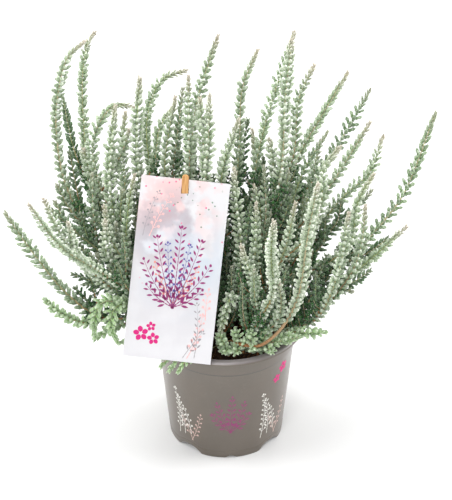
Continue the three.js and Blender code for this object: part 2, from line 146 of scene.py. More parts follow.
def mixColours(tree, share, first, second, blend="MIX"):
    wires = {0: share, 6: first, 7: second}
    return addNode(tree, "ShaderNodeMix", wires, data_type="RGBA", blend_type=blend).outputs[2]


def combine(tree, operation, first, second=0.0):
    return addNode(tree, "ShaderNodeMath", {0: first, 1: second}, operation=operation).outputs[0]


def spread(tree, value, low, high, fromLow=0.0, fromHigh=1.0):
    wires = {"Value": value, "From Min": fromLow, "From Max": fromHigh, "To Min": low, "To Max": high}
    return addNode(tree, "ShaderNodeMapRange", wires).outputs[0]


def readValue(tree, name):
    return addNode(tree, "ShaderNodeAttribute", attribute_name=name).outputs["Fac"]


def objectPlace(tree):
    return addNode(tree, "ShaderNodeTexCoord").outputs["Object"]


def placeOnPiece(tree, toPiece):  # object coordinates, turned into a piece's own directions
    wires = {"Vector": objectPlace(tree), "Location": toPiece.translation, "Rotation": toPiece.to_euler()}
    return addNode(tree, "ShaderNodeMapping", wires, vector_type="POINT").outputs[0]


def startGroup(name, values, outcome, kind="Float"):  # a node group that reads a place and named values
    group = bpy.data.node_groups.new(name, "ShaderNodeTree")
    sockets = group.interface
    sockets.new_socket("Place", in_out="INPUT", socket_type="NodeSocketVector")
    for label in values:
        sockets.new_socket(label, in_out="INPUT", socket_type="NodeSocketFloat")
    sockets.new_socket(outcome, in_out="OUTPUT", socket_type="NodeSocket" + kind)
    given = addNode(group, "NodeGroupInput").outputs
    return group, given, addNode(group, "NodeGroupOutput").inputs[0]


def makeMottleGroup():  # soft patches, as a mask between 0 and 1
    group, given, result = startGroup("mottle", ("Scale", "Detail", "Low", "High"), "Mask")
    wires = {"Vector": given["Place"], "Scale": given["Scale"], "Detail": given["Detail"]}
    patches = addNode(group, "ShaderNodeTexNoise", wires).outputs["Fac"]
    wires = {"Value": patches, "From Min": given["Low"], "From Max": given["High"]}
    mask = addNode(group, "ShaderNodeMapRange", wires, interpolation_type="SMOOTHSTEP")
    group.links.new(mask.outputs[0], result)
    return group


def makeReliefGroup():  # fine bumps, as a normal
    group, given, result = startGroup("fineRelief", ("Scale", "Strength", "Depth"), "Normal", "Vector")
    wires = {"Vector": given["Place"], "Scale": given["Scale"], "Detail": 3.0}
    bumps = addNode(group, "ShaderNodeTexNoise", wires).outputs["Fac"]
    wires = {"Height": bumps, "Strength": given["Strength"], "Distance": given["Depth"]}
    group.links.new(addNode(group, "ShaderNodeBump", wires).outputs["Normal"], result)
    return group


def makeSpeckGroup():  # small scattered dots, as a mask
    group, given, result = startGroup("specks", ("Scale", "Size", "Share"), "Mask")
    wires = {"Vector": given["Place"], "Scale": given["Scale"]}
    cells = addNode(group, "ShaderNodeTexVoronoi", wires).outputs
    near = combine(group, "LESS_THAN", cells["Distance"], given["Size"])
    draw = addNode(group, "ShaderNodeSeparateColor", {"Color": cells["Color"]}).outputs[0]
    chosen = combine(group, "LESS_THAN", draw, given["Share"])
    group.links.new(combine(group, "MULTIPLY", near, chosen), result)
    return group


groups = {"mottle": makeMottleGroup(), "relief": makeReliefGroup(), "specks": makeSpeckGroup()}


def useGroup(tree, name, **values):
    node = addNode(tree, "ShaderNodeGroup", node_tree=groups[name])
    for label, value in values.items():
        feed(tree, node.inputs[label.capitalize()], value)
    return node.outputs[0]


def startFinish(name, settings):  # settings are the same all over the surface
    finish = bpy.data.materials.new(name)
    finish.use_nodes = True
    tree = finish.node_tree
    shader = tree.nodes["Principled BSDF"]
    for socket, value in settings.items():
        shader.inputs[socket].default_value = value
    return finish, tree, shader


def wireSurface(tree, shader, wires):  # what changes over the surface
    for socket, value in wires.items():
        tree.links.new(value, shader.inputs[socket])


# Mesh helpers
def addPiece(name, mesh, finishes, stands=(), flat=False):
    piece = addObject(name, mesh)
    for finish in finishes:
        mesh.materials.append(finish)
    if not flat:
        mesh.shade_smooth()
    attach(piece, "root")
    if stands:
        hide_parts(*stands)
    return piece


def toMesh(bm, name):
    mesh = bpy.data.meshes.new(name)
    bm.to_mesh(mesh)
    bm.free()
    return mesh


def onlyVerts(parts):
    return [part for part in parts if isinstance(part, bmesh.types.BMVert)]


def markAll(mesh, **values):  # gives all the points of a mesh the same values
    for name, value in values.items():
        layer = mesh.attributes.get(name) or mesh.attributes.new(name, "FLOAT", "POINT")
        layer.data.foreach_set("value", [value] * len(mesh.vertices))


def addCopy(bm, template, matrix, **values):
    copy = template.copy()
    markAll(copy, **values)
    copy.transform(matrix)
    bm.from_mesh(copy)
    bpy.data.meshes.remove(copy)


def turnedShape(profile, steps):  # a profile of (radius, height) in mm, spun about Z
    bm = bmesh.new()
    verts = [bm.verts.new((radius * mm, 0, height * mm)) for radius, height in profile]
    edges = [bm.edges.new(pair) for pair in zip(verts, verts[1:])]
    bmesh.ops.spin(
        bm, geom=verts + edges, cent=(0, 0, 0), axis=zAxis, angle=math.tau, steps=steps, use_merge=True
    )
    bmesh.ops.remove_doubles(bm, verts=bm.verts, dist=1e-6)
    bmesh.ops.recalc_face_normals(bm, faces=bm.faces)
    return bm


def sharpEdges(bm, degrees):
    limit = math.radians(degrees)
    return [edge for edge in bm.edges if edge.is_manifold and edge.calc_face_angle() > limit]


def roundEdges(bm, edges, width, segments):
    bmesh.ops.bevel(
        bm, geom=edges, offset=width, affect="EDGES", segments=segments, profile=0.5, material=-1
    )


def cutWith(piece, bm):  # cuts the shape of a bmesh out of a piece
    cutter = addObject("cutter", toMesh(bm, "cutter"))
    cut = piece.modifiers.new("cut", "BOOLEAN")
    cut.operation = "DIFFERENCE"
    cut.solver = "EXACT"
    cut.object = cutter
    shapes = bpy.context.evaluated_depsgraph_get()
    mesh = bpy.data.meshes.new_from_object(piece.evaluated_get(shapes))
    piece.modifiers.clear()
    old = piece.data
    piece.data = mesh
    bpy.data.meshes.remove(old)
    bpy.data.objects.remove(cutter)


# Pot
pot = {
    "lipRadius": 60, "lipHeight": 2.8, "mouthRadius": 54.4, "neckRadius": 53.8,
    "height": 102, "stepHeight": 85.5, "stepRadius": 53, "stepDepth": 0.9, "stepEase": 0.25,
    "footRadius": 43.7, "footWidth": 3, "footLine": 6.5, "footLineDepth": 0.22, "bandDepth": 0.1,
    "wall": 1.5, "baseRaise": 6, "baseThickness": 1.6,
    "steps": 240, "lipRounding": 2.2, "rounding": 0.35, "sharpAngle": 40,
    "arches": {"count": 4, "first": -40, "half": 11.4, "rise": 5.2},  # first is its angle from the front
    "notches": {"count": 4, "first": 5, "half": 4.2, "rise": 1.7},
    "squareness": 2.6, "softness": 1.3,  # of the arches' outline
    "calmAbove": 14,  # height above which the arches don't raise the wall
    "drains": 6, "drainCircle": 27, "drainRadius": 3.4, "drainSides": 32, "drillDepth": 4,
    "colour": (82, 73, 62), "lightColour": (90, 80, 69), "dust": (122, 113, 102), "dustShare": 0.12,
    "lipHighlight": (116, 109, 110), "lipHighlightFade": (1.6, 0.2),  # painted highlight on the lip's top; mm below the top
    "creaseShade": (56, 50, 44), "creaseDrop": 0.3, "creaseFade": (0.4, 1.2),  # painted shade in the crease under the step: mm below the step, and from there
}


def plasticFinish():
    settings = {"Specular IOR Level": 0.5, "Coat Weight": 0.8, "Coat Roughness": 0.26}
    finish, tree, shader = startFinish("potPlastic", settings)
    place = objectPlace(tree)
    clouds = useGroup(tree, "mottle", place=place, scale=38.0, detail=4.0, low=0.3, high=0.7)
    colour = mixColours(tree, clouds, paint(*pot["colour"]), paint(*pot["lightColour"]))
    dust = useGroup(tree, "mottle", place=place, scale=420.0, detail=2.0, low=0.55, high=0.8)
    colour = mixColours(tree, combine(tree, "MULTIPLY", dust, pot["dustShare"]), colour, paint(*pot["dust"]))
    height = addNode(tree, "ShaderNodeSeparateXYZ", {"Vector": place}).outputs[2]
    # painted highlight: the top of the lip is made lighter
    lipHighlightMask = spread(tree, height, 0.0, 1.0, *[(pot["height"] - drop) * mm for drop in pot["lipHighlightFade"]])
    colour = mixColours(tree, lipHighlightMask, colour, paint(*pot["lipHighlight"]))
    # painted shade: a dark band in the crease just below the step
    creaseHeight = (pot["stepHeight"] - pot["creaseDrop"]) * mm
    fromCrease = combine(tree, "ABSOLUTE", combine(tree, "SUBTRACT", height, creaseHeight))
    creaseShadeMask = spread(tree, fromCrease, 1.0, 0.0, *[reach * mm for reach in pot["creaseFade"]])
    colour = mixColours(tree, creaseShadeMask, colour, paint(*pot["creaseShade"]))
    rough = spread(tree, clouds, 0.4, 0.5)
    grain = useGroup(tree, "relief", place=place, scale=1500.0, strength=0.25, depth=0.0001)
    wireSurface(tree, shader, {"Base Color": colour, "Roughness": rough, "Normal": grain})
    return finish


def footLift(angle):  # how far the foot's edge is raised at an angle from the front, in mm
    lift = 0
    for gap in (pot["arches"], pot["notches"]):
        pitch = 360 / gap["count"]
        off = (angle - gap["first"] + pitch / 2) % pitch - pitch / 2
        across = abs(math.radians(off)) * pot["footRadius"] / gap["half"]
        if across < 1:
            lift += gap["rise"] * (1 - across ** pot["squareness"]) ** pot["softness"]
    return lift


def outside(height):  # radius of the wall's outside below the collar, in mm
    slope = (pot["stepRadius"] - pot["stepDepth"] - pot["footRadius"]) / pot["stepHeight"]
    return pot["footRadius"] + slope * height - (pot["bandDepth"] if height > pot["footLine"] else 0)


def makePot(plastic):
    foot, line, step, wall = pot["footRadius"], pot["footLine"], pot["stepHeight"], pot["wall"]
    footInside = foot - pot["footWidth"]
    neck = pot["height"] - pot["lipHeight"]
    floor = pot["baseRaise"] + pot["baseThickness"]
    below = outside(step)
    bm = turnedShape([
        (0, pot["baseRaise"]),
        *[(footInside, height) for height in (pot["baseRaise"], 4, 2, 0)],
        *[(outside(height), height) for height in (0, 1.5, 3, 4.5, line - 0.5)],
        (outside(line) - pot["footLineDepth"], line),
        *[(outside(height), height) for height in (line + 0.6, 9, 12, 16, 30, 50, 70)],
        (below, step - pot["stepEase"]),
        (pot["stepRadius"], step + pot["stepEase"]),
        (pot["neckRadius"], neck),
        (pot["lipRadius"], neck),
        (pot["lipRadius"], pot["height"]),
        (pot["mouthRadius"], pot["height"]),
        (pot["neckRadius"] - wall, neck - 2),
        (below - wall, step - 1),
        (outside(floor) - wall, floor),
        (0, floor),
    ], pot["steps"])
    for vert in bm.verts:
        height, reach = vert.co.z / mm, vert.co.xy.length / mm
        if height < pot["calmAbove"] and reach > footInside - 0.1:
            fade = 1 - height / (pot["calmAbove"] if reach > foot - 0.5 else pot["baseRaise"])
            lift = footLift(math.degrees(math.atan2(vert.co.x, -vert.co.y)))
            vert.co.z += lift * max(0, fade) * mm
    lipEdge = Vector((pot["lipRadius"], pot["height"]))
    lipCorner = [
        edge for edge in sharpEdges(bm, pot["sharpAngle"])
        if all((Vector((vert.co.xy.length, vert.co.z)) / mm - lipEdge).length < 0.1 for vert in edge.verts)
    ]
    roundEdges(bm, lipCorner, pot["lipRounding"] * mm, 6)
    roundEdges(bm, sharpEdges(bm, pot["sharpAngle"]), pot["rounding"] * mm, 3)
    piece = addPiece("potShell", toMesh(bm, "potShell"), [plastic], ["pot"])
    cutter = bmesh.new()
    for i in range(pot["drains"]):
        angle = math.tau * i / pot["drains"]
        place = Vector((math.sin(angle), -math.cos(angle), 0)) * pot["drainCircle"] * mm
        place.z = (pot["baseRaise"] + pot["baseThickness"] / 2) * mm
        bmesh.ops.create_cone(
            cutter, cap_ends=True, segments=pot["drainSides"], radius1=pot["drainRadius"] * mm,
            radius2=pot["drainRadius"] * mm, depth=pot["drillDepth"] * mm, matrix=Matrix.Translation(place),
        )
    cutWith(piece, cutter)
    piece.data.shade_smooth()
    piece.data.set_sharp_from_angle(angle=math.radians(pot["sharpAngle"]))
    print("pot made:", len(piece.data.polygons), "faces")


# Peat
peat = {
    "top": 93, "crown": 1.2, "edgeDrop": 1.6, "radius": 51.1,
    "shoulder": 82, "shoulderRadius": 50.8, "footRadius": 42.2, "floor": 7.9,
    "steps": 160, "rings": 40, "roughness": 1.5, "seed": 11,
    "crumbMargin": 1.5, "fibreMargin": 5,  # kept free along the pot's wall
    "crumbs": 900, "crumbSize": 0.35, "crumbSpread": 1.2,  # the smallest radius, and what the largest adds
    "fibres": 240, "fibreLength": (3, 11), "fibreRadius": (0.16, 0.07), "fibreSpans": 4,
    "dark": (38, 27, 20), "soil": (62, 43, 30), "brown": (84, 58, 38), "straw": (150, 110, 70),
}


def peatFinish(name, low, high):
    finish, tree, shader = startFinish(name, {"Roughness": 0.95, "Specular IOR Level": 0.2})
    place = objectPlace(tree)
    clods = useGroup(tree, "mottle", place=place, scale=260.0, detail=6.0, low=0.35, high=0.7)
    colour = mixColours(tree, clods, paint(*low), paint(*high))
    grain = useGroup(tree, "relief", place=place, scale=900.0, strength=0.9, depth=0.0006)
    wireSurface(tree, shader, {"Base Color": colour, "Normal": grain})
    return finish


def peatHeight(x, y):  # height of the peat's surface in mm, at a place in mm
    share = min(1, math.hypot(x, y) / peat["radius"])
    smooth = peat["top"] + peat["crown"] * (1 - share) ** 1.5 - peat["edgeDrop"] * share**4
    lumps = noise.noise(Vector((x / 7, y / 7, 3))) + 0.5 * noise.noise(Vector((x / 2.4, y / 2.4, 9)))
    return smooth + peat["roughness"] * lumps


def peatSpot(rng, margin):  # a random place on the peat, in mm
    reach = (peat["radius"] - margin) * math.sqrt(rng.random())
    angle = rng.uniform(0, math.tau)
    return reach * math.cos(angle), reach * math.sin(angle)


def makeCrumbs(rng):
    ball = bmesh.new()
    bmesh.ops.create_icosphere(ball, subdivisions=1, radius=mm)
    template = toMesh(ball, "crumb")
    bm = bmesh.new()
    for _ in range(peat["crumbs"]):
        x, y = peatSpot(rng, peat["crumbMargin"])
        size = peat["crumbSize"] + peat["crumbSpread"] * rng.random() ** 3
        place = Matrix.Translation(Vector((x, y, peatHeight(x, y) + 0.2 * size)) * mm)
        turn = Matrix.Rotation(rng.uniform(0, math.tau), 4, Vector((rng.random(), rng.random(), 1)))
        shape = Matrix.Diagonal((size, size * rng.uniform(0.5, 1), size * rng.uniform(0.4, 0.8), 1))
        addCopy(bm, template, place @ turn @ shape)
    bpy.data.meshes.remove(template)
    noise.seed_set(peat["seed"])  # noise_vector is seeded by the clock otherwise
    for vert in bm.verts:
        vert.co += noise.noise_vector(vert.co * 1400) * 0.2 * mm
    finish = peatFinish("peatCrumb", peat["dark"], peat["brown"])
    addPiece("peatCrumbs", toMesh(bm, "peatCrumbs"), [finish])


def makeFibres(rng):
    spans = peat["fibreSpans"]
    thick, thin = peat["fibreRadius"]
    bm = bmesh.new()
    for _ in range(peat["fibres"]):
        x, y = peatSpot(rng, peat["fibreMargin"])
        heading = rng.uniform(0, math.tau)
        length = rng.uniform(*peat["fibreLength"])
        bend = rng.uniform(-0.5, 0.5)
        points = []
        for _ in range(spans + 1):
            heading += bend / 2 + rng.uniform(-0.2, 0.2)
            x += math.cos(heading) * length / spans
            y += math.sin(heading) * length / spans
            if math.hypot(x, y) > peat["radius"] - 1:
                break
            points.append(Vector((x, y, peatHeight(x, y) + rng.uniform(0.1, 0.9))) * mm)
        if len(points) > 2:
            strand = sweepStem(startRoute(points), thick * mm, thin * mm, 1.2 * mm, 4)
            bm.from_mesh(strand)
            bpy.data.meshes.remove(strand)
    finish = peatFinish("peatFibre", peat["brown"], peat["straw"])
    addPiece("peatFibres", toMesh(bm, "peatFibres"), [finish])


def makePeat():
    rings = peat["rings"]
    bm = turnedShape([
        (0, peat["floor"]),
        (peat["footRadius"], peat["floor"]),
        (peat["shoulderRadius"], peat["shoulder"]),
        *[(peat["radius"] * (1 - i / rings), peat["top"]) for i in range(rings + 1)],
    ], peat["steps"])
    for vert in bm.verts:
        if vert.co.z > (peat["shoulder"] + 1) * mm:
            vert.co.z = peatHeight(vert.co.x / mm, vert.co.y / mm) * mm
    finish = peatFinish("peatBlock", peat["dark"], peat["soil"])
    addPiece("peatBlock", toMesh(bm, "peatBlock"), [finish], ["peat_root_ball"])
    rng = random.Random(peat["seed"])
    makeCrumbs(rng)
    makeFibres(rng)
    print("peat made")


# Routes of the shoots
routeSteps = 16  # steps between two points of a route


def startRoute(points):  # a smooth line through the points, with the length up to each of its steps
    ends = [2 * points[0] - points[1], *points, 2 * points[-1] - points[-2]]
    line = []
    for before, start, stop, after in zip(ends, ends[1:], ends[2:], ends[3:]):
        pairs = (before, start), (start, stop), (stop, after)
        first, middle, last = ((b - a).length ** 0.5 for a, b in pairs)
        leave = (start - before) / first - (stop - before) / (first + middle) + (stop - start) / middle
        arrive = (stop - start) / middle - (after - start) / (middle + last) + (after - stop) / last
        handles = start + leave * middle / 3, stop - arrive * middle / 3
        span = geometry.interpolate_bezier(start, *handles, stop, routeSteps + 1)
        line += span[1:] if line else span
    lengths = [0]
    for a, b in zip(line, line[1:]):
        lengths.append(lengths[-1] + (b - a).length)
    return {"line": line, "lengths": lengths, "length": lengths[-1]}


def placeOn(route, distance):  # the point at a distance along a route, and the route's direction there
    i = min(max(bisect.bisect(route["lengths"], distance), 1), len(route["line"]) - 1)
    start, stop = route["line"][i - 1], route["line"][i]
    gap = route["lengths"][i] - route["lengths"][i - 1]
    share = (distance - route["lengths"][i - 1]) / gap
    return start.lerp(stop, share), (stop - start).normalized()


def sweepStem(route, startRadius, endRadius, ringStep, sides):
    count = max(3, round(route["length"] / ringStep))
    bm = bmesh.new()
    age = bm.verts.layers.float.new("age")
    side = xAxis.copy()
    ring = bmesh.ops.create_circle(bm, cap_ends=True, segments=sides, radius=1)["verts"]
    edges = list(bm.edges)
    last = Matrix()
    for i in range(count + 1):
        share = i / count
        point, along = placeOn(route, route["length"] * share)
        side = (side - along * side.dot(along)).normalized()
        radius = endRadius + (startRadius - endRadius) * (1 - share) ** 1.3
        basis = Matrix((side, along.cross(side), along)).transposed().to_4x4()
        matrix = Matrix.Translation(point) @ basis @ Matrix.Diagonal((radius, radius, radius, 1))
        if i:
            grown = bmesh.ops.extrude_edge_only(bm, edges=edges)["geom"]
            ring = onlyVerts(grown)
            edges = [part for part in grown if isinstance(part, bmesh.types.BMEdge)]
        bmesh.ops.transform(bm, matrix=matrix @ last.inverted(), verts=ring)
        last = matrix
        for vert in ring:
            vert[age] = share
    bmesh.ops.contextual_create(bm, geom=edges)
    bmesh.ops.recalc_face_normals(bm, faces=bm.faces)
    return toMesh(bm, "stem")


# Card and stake
card = {
    "width": 65, "length": 135, "thickness": 0.8, "foot": (-43.8, -60, 106), "leanBack": 25, "turn": 6.3,
    "slotDrop": 8.6, "clearance": 0.3, "rows": 26, "columns": 12,
    "white": (205, 204, 207), "blush": (222, 180, 178), "lilac": (158, 146, 154), "frost": (182, 191, 202),
    "mist": (190, 188, 193), "pink": (222, 90, 130), "green": (92, 124, 104),
    "washes": {  # middle in the card's frame and reach in mm, scale, strength
        "blush": ((-6, 0, 118), 40, 60.0, 0.75),
        "lilac": ((-8, 0, 96), 40, 45.0, 0.8),
        "frost": ((6, 0, 70), 44, 38.0, 0.8),
        "mist": ((-10, 0, 30), 60, 22.0, 0.45),
    },
    "specks": {  # middle, reach, scale, share of the spots that have a dot
        "pink": ((-6, 0, 100), 52, 420.0, 0.05),
        "green": ((12, 0, 114), 24, 480.0, 0.09),
    },
}
stake = {
    "foot": (-37.5, -21, 60), "width": 5, "thickness": 1.4, "aboveSlot": 13.5,
    "rounding": 0.3, "cornerAngle": 50, "smoothAngle": 40, "pale": (208, 162, 106), "grain": (176, 122, 72),
}
cardFrame = (
    Matrix.Translation(Vector(card["foot"]) * mm)
    @ Matrix.Rotation(math.radians(-card["leanBack"]), 4, "X")
    @ Matrix.Rotation(math.radians(card["turn"]), 4, "Y")
)
toCard = cardFrame.inverted()
slotMiddle = cardFrame @ Vector((0, 0, (card["length"] - card["slotDrop"]) * mm))
stakeFoot = Vector(stake["foot"]) * mm
stakeReach = slotMiddle - stakeFoot
stakeLength = stakeReach.length + stake["aboveSlot"] * mm
stakeUp = stakeReach.normalized()
stakeThrough = stakeUp.cross(xAxis).normalized()
stakeFrame = Matrix((stakeThrough.cross(stakeUp), stakeThrough, stakeUp)).transposed().to_4x4()
stakeFrame.translation = stakeFoot


def nearSpot(tree, place, middle, reach, calm, most):  # falls from most to nothing at reach, in mm
    spot = [value * mm for value in middle]
    away = addNode(tree, "ShaderNodeVectorMath", {0: place, 1: spot}, operation="DISTANCE").outputs["Value"]
    return spread(tree, away, most, 0.0, reach * mm * calm, reach * mm)


def paperFinish():
    finish, tree, shader = startFinish("cardStock", {"Roughness": 0.42, "Specular IOR Level": 0.4})
    place = placeOnPiece(tree, toCard)
    colour = paint(*card["white"])
    for wash, (middle, reach, scale, strength) in card["washes"].items():
        near = nearSpot(tree, place, middle, reach, 0.4, 1.0)
        cloud = useGroup(tree, "mottle", place=place, scale=scale, detail=5.0, low=0.42, high=0.54)
        share = combine(tree, "MULTIPLY", combine(tree, "MULTIPLY", near, cloud), strength)
        colour = mixColours(tree, share, colour, paint(*card[wash]))
    for speck, (middle, reach, scale, share) in card["specks"].items():
        near = nearSpot(tree, place, middle, reach, 0.7, 0.9)
        dots = useGroup(tree, "specks", place=place, scale=scale, size=0.3, share=share)
        colour = mixColours(tree, combine(tree, "MULTIPLY", near, dots), colour, paint(*card[speck]))
    wireSurface(tree, shader, {"Base Color": colour})
    return finish


def inkFinish(name, colour):
    return startFinish(name, {"Base Color": paint(*colour), "Roughness": 0.5, "Specular IOR Level": 0.35})[0]


def addInk(bm, outline, place, surface):  # a thin closed print: leaf, berry or stem piece, laid on a surface
    width, length, pinch = outline
    blank = {"cap_ends": True, "cap_tris": True, "segments": ink["segments"], "radius": 0.5}
    disc = bmesh.ops.create_circle(bm, **blank)["verts"]
    for vert in disc:
        vert.co.x *= 1 - pinch * abs(2 * vert.co.y) ** 1.5
    bmesh.ops.transform(bm, matrix=place @ Matrix.Diagonal((width, length, 1, 1)), verts=disc)
    faces = list({face for vert in disc for face in vert.link_faces})
    raised = onlyVerts(bmesh.ops.extrude_face_region(bm, geom=faces, use_keep_orig=True)["geom"])
    for verts, out in ((disc, -ink["sink"]), (raised, ink["rise"])):
        for vert in verts:
            vert.co = surface(vert.co.x, vert.co.y, out) * mm


def onPot(across, height, out):  # millimetres round the wall from the front, and up it
    radius = outside(height) + out
    angle = across / pot["stepRadius"]
    return Vector((math.sin(angle) * radius, -math.cos(angle) * radius, height))


def onCard(across, height, out):  # millimetres from the card's middle, and up it
    return (cardFrame @ Vector((across * mm, (-card["thickness"] / 2 - out) * mm, height * mm))) / mm


sprig = {  # in mm for a boldness of 1: size at the foot, and how much smaller at the tip
    "step": 2.6, "line": (0.65, 0.5), "reach": (3.4, 1.6), "berry": (1.7, 0.6),
    "leafWidth": (1.5, 0.5), "leafLength": (4.2, 1.8), "twig": 0.3, "bud": (1.3, 1.6),
}


def growSprig(bm, surface, bold, foot, height, lean, curl, berries, rng):  # short strokes with paired leaves
    steps = max(6, round(height / sprig["step"]))
    point = Vector((*foot, 0))
    heading = lean
    for i in range(steps):
        line, reach, berry, width, length = (
            (sprig[name][0] - sprig[name][1] * i / steps) * bold
            for name in ("line", "reach", "berry", "leafWidth", "leafLength")
        )
        heading += curl / steps
        way = Vector((math.sin(heading), math.cos(heading), 0))
        place = Matrix.Translation(point) @ Matrix.Rotation(-heading, 4, "Z")
        addInk(bm, (line, height / steps * 1.25, 0.2), place, surface)
        for side in (1, -1) if i > 1 and i % 2 == 0 else ():
            turn = heading + side * rng.uniform(0.6, 0.9)
            out = reach * rng.uniform(0.85, 1.1)
            end = point + Vector((math.sin(turn), math.cos(turn), 0)) * out
            turned = Matrix.Rotation(-turn, 4, "Z")
            if berries:
                addInk(bm, (berry, berry, 0), Matrix.Translation(end) @ turned, surface)
                twigPlace = Matrix.Translation((point + end) / 2) @ turned
                addInk(bm, (sprig["twig"] * bold, out, 0), twigPlace, surface)
            else:
                addInk(bm, (width, length, 0.75), Matrix.Translation(end) @ turned, surface)
        point += way * height / steps
    width, length = sprig["bud"]
    addInk(bm, (width * bold, length * bold, 0), Matrix.Translation(point), surface)


petal = {"count": 5, "turn": 0.15, "reach": 0.31, "width": 0.36, "length": 0.42, "pinch": 0.2}


def growBlossom(bm, surface, across, height, size):  # rounded petals about an open middle
    for i in range(petal["count"]):
        turn = Matrix.Rotation(math.tau * (i + petal["turn"]) / petal["count"], 4, "Z")
        out = Matrix.Translation((0, size * petal["reach"], 0))
        place = Matrix.Translation((across, height, 0)) @ turn @ out
        addInk(bm, (size * petal["width"], size * petal["length"], petal["pinch"]), place, surface)


def makePrints():
    rng = random.Random(ink["seed"])
    for name, (slot, surface, colour, bold, sprigs) in prints.items():
        bm = bmesh.new()
        for growth in sprigs:
            growSprig(bm, surface, bold, *growth, rng)
        for blossom in blossoms.get(name, []):
            growBlossom(bm, surface, *blossom)
        bmesh.ops.recalc_face_normals(bm, faces=bm.faces)
        addPiece(name, toMesh(bm, name), [inkFinish(name, ink[colour])], flat=True)
    print("prints made")


ink = {
    "segments": 10, "rise": 0.05, "sink": 0.06, "seed": 5,
    "white": (214, 212, 206), "rose": (196, 168, 160), "plum": (138, 44, 104), "grey": (150, 146, 150),
    "violet": (92, 84, 150), "coral": (214, 132, 120), "magenta": (196, 16, 112), "blush": (226, 176, 174),
}
prints = {  # slot, surface, colour, boldness, sprigs: foot, height, lean, curl, with berries or leaves
    "potPrintWhite": ("pot_plastic", onPot, "white", 1.2, [
        ((side + step, 15 + 2 * turn), 44 - 9 * turn, 0.2 - 0.12 * turn, -0.4, turn % 2 == 0)
        for side in (-47, 33, 108, 186) for turn, step in enumerate((0, 7, 14))
    ]),
    "potPrintRose": ("pot_plastic", onPot, "rose", 1.2, [
        ((side, 13), height, lean, -0.3, True)
        for side in (-32, 50, 126, 204) for height, lean in ((30, 0.5), (22, -0.3))
    ]),
    "potPrintPlum": ("pot_plastic", onPot, "plum", 1.3, [
        ((middle, 27), height, lean, -lean * 0.6, False)
        for middle in (4, 170)
        for height, lean in ((36, 0.05), (32, 0.55), (32, -0.55), (24, 1.1), (24, -1.1))
    ]),
    "potPrintMagenta": ("pot_plastic", onPot, "magenta", 1, []),
    "cardPrintPlum": ("card_stock", onCard, "plum", 1.5, [
        ((0, 40), height, lean, -lean * 0.5, False)
        for height, lean in (
            (60, 0.02), (54, 0.42), (54, -0.42), (42, 0.86), (42, -0.86), (26, 1.3), (26, -1.3)
        )
    ]),
    "cardPrintViolet": ("card_stock", onCard, "violet", 1.2, [
        ((1, 44), 44, 0.22, -0.1, True), ((-1, 44), 44, -0.22, 0.1, True),
    ]),
    "cardPrintCoral": ("card_stock", onCard, "coral", 1.2, [
        ((1, 44), 32, 0.66, -0.3, True), ((-1, 44), 32, -0.66, 0.3, True),
    ]),
    "cardPrintMagenta": ("card_stock", onCard, "magenta", 1, []),
    "cardPrintGrey": ("card_stock", onCard, "grey", 1, [
        ((20, 5), 40, 0.1, -0.3, False), ((12, 4), 24, 0.5, 0.1, False), ((-27, 92), 34, 0.1, 0.3, True),
    ]),
    "cardPrintBlush": ("card_stock", onCard, "blush", 1.3, [
        ((15, 4), 34, 0.45, -0.4, True), ((-22, 92), 34, 0.3, 0.2, True), ((25, 34), 22, -0.1, 0.2, True),
    ]),
}
blossoms = {  # middle and size, in mm on the surface
    "potPrintMagenta": [
        (side + across, height, size)
        for side in (46, 212) for across, height, size in ((0, 68, 8), (7, 76, 10))
    ],
    "cardPrintMagenta": [(-21, 18, 11), (-11.5, 15, 9), (-14, 24, 7)],
}


def timberFinish():
    finish, tree, shader = startFinish("stakeTimber", {"Roughness": 0.6, "Specular IOR Level": 0.3})
    wires = {"Vector": placeOnPiece(tree, stakeFrame.inverted()), "Scale": (1, 1, 0.06)}
    stretched = addNode(tree, "ShaderNodeMapping", wires).outputs[0]
    grain = useGroup(tree, "mottle", place=stretched, scale=1300.0, detail=5.0, low=0.35, high=0.7)
    colour = mixColours(tree, grain, paint(*stake["pale"]), paint(*stake["grain"]))
    ridges = useGroup(tree, "relief", place=stretched, scale=1700.0, strength=0.4, depth=0.0002)
    wireSurface(tree, shader, {"Base Color": colour, "Normal": ridges})
    return finish


def splintShape(clearance, steps=12):  # a splint with a rounded tip, for the stake and for its slot
    half = (stake["width"] / 2 + clearance) * mm
    depth = (stake["thickness"] + 2 * clearance) * mm
    bm = bmesh.new()
    corners = [bm.verts.new((x, -depth / 2, -clearance * mm)) for x in (-half, half)]
    arc = [math.pi * i / steps for i in range(steps + 1)]
    crown = stakeLength - half
    corners += [bm.verts.new((half * math.cos(a), -depth / 2, crown + half * math.sin(a))) for a in arc]
    grown = bmesh.ops.extrude_face_region(bm, geom=[bm.faces.new(corners)])["geom"]
    bmesh.ops.translate(bm, vec=(0, depth, 0), verts=onlyVerts(grown))
    bmesh.ops.recalc_face_normals(bm, faces=bm.faces)
    return bm


def makeStake():
    bm = splintShape(0)
    roundEdges(bm, sharpEdges(bm, stake["cornerAngle"]), stake["rounding"] * mm, 2)
    bmesh.ops.transform(bm, matrix=stakeFrame, verts=bm.verts)
    piece = addPiece("stakeSplint", toMesh(bm, "stakeSplint"), [timberFinish()], ["stake"])
    piece.data.set_sharp_from_angle(angle=math.radians(stake["smoothAngle"]))


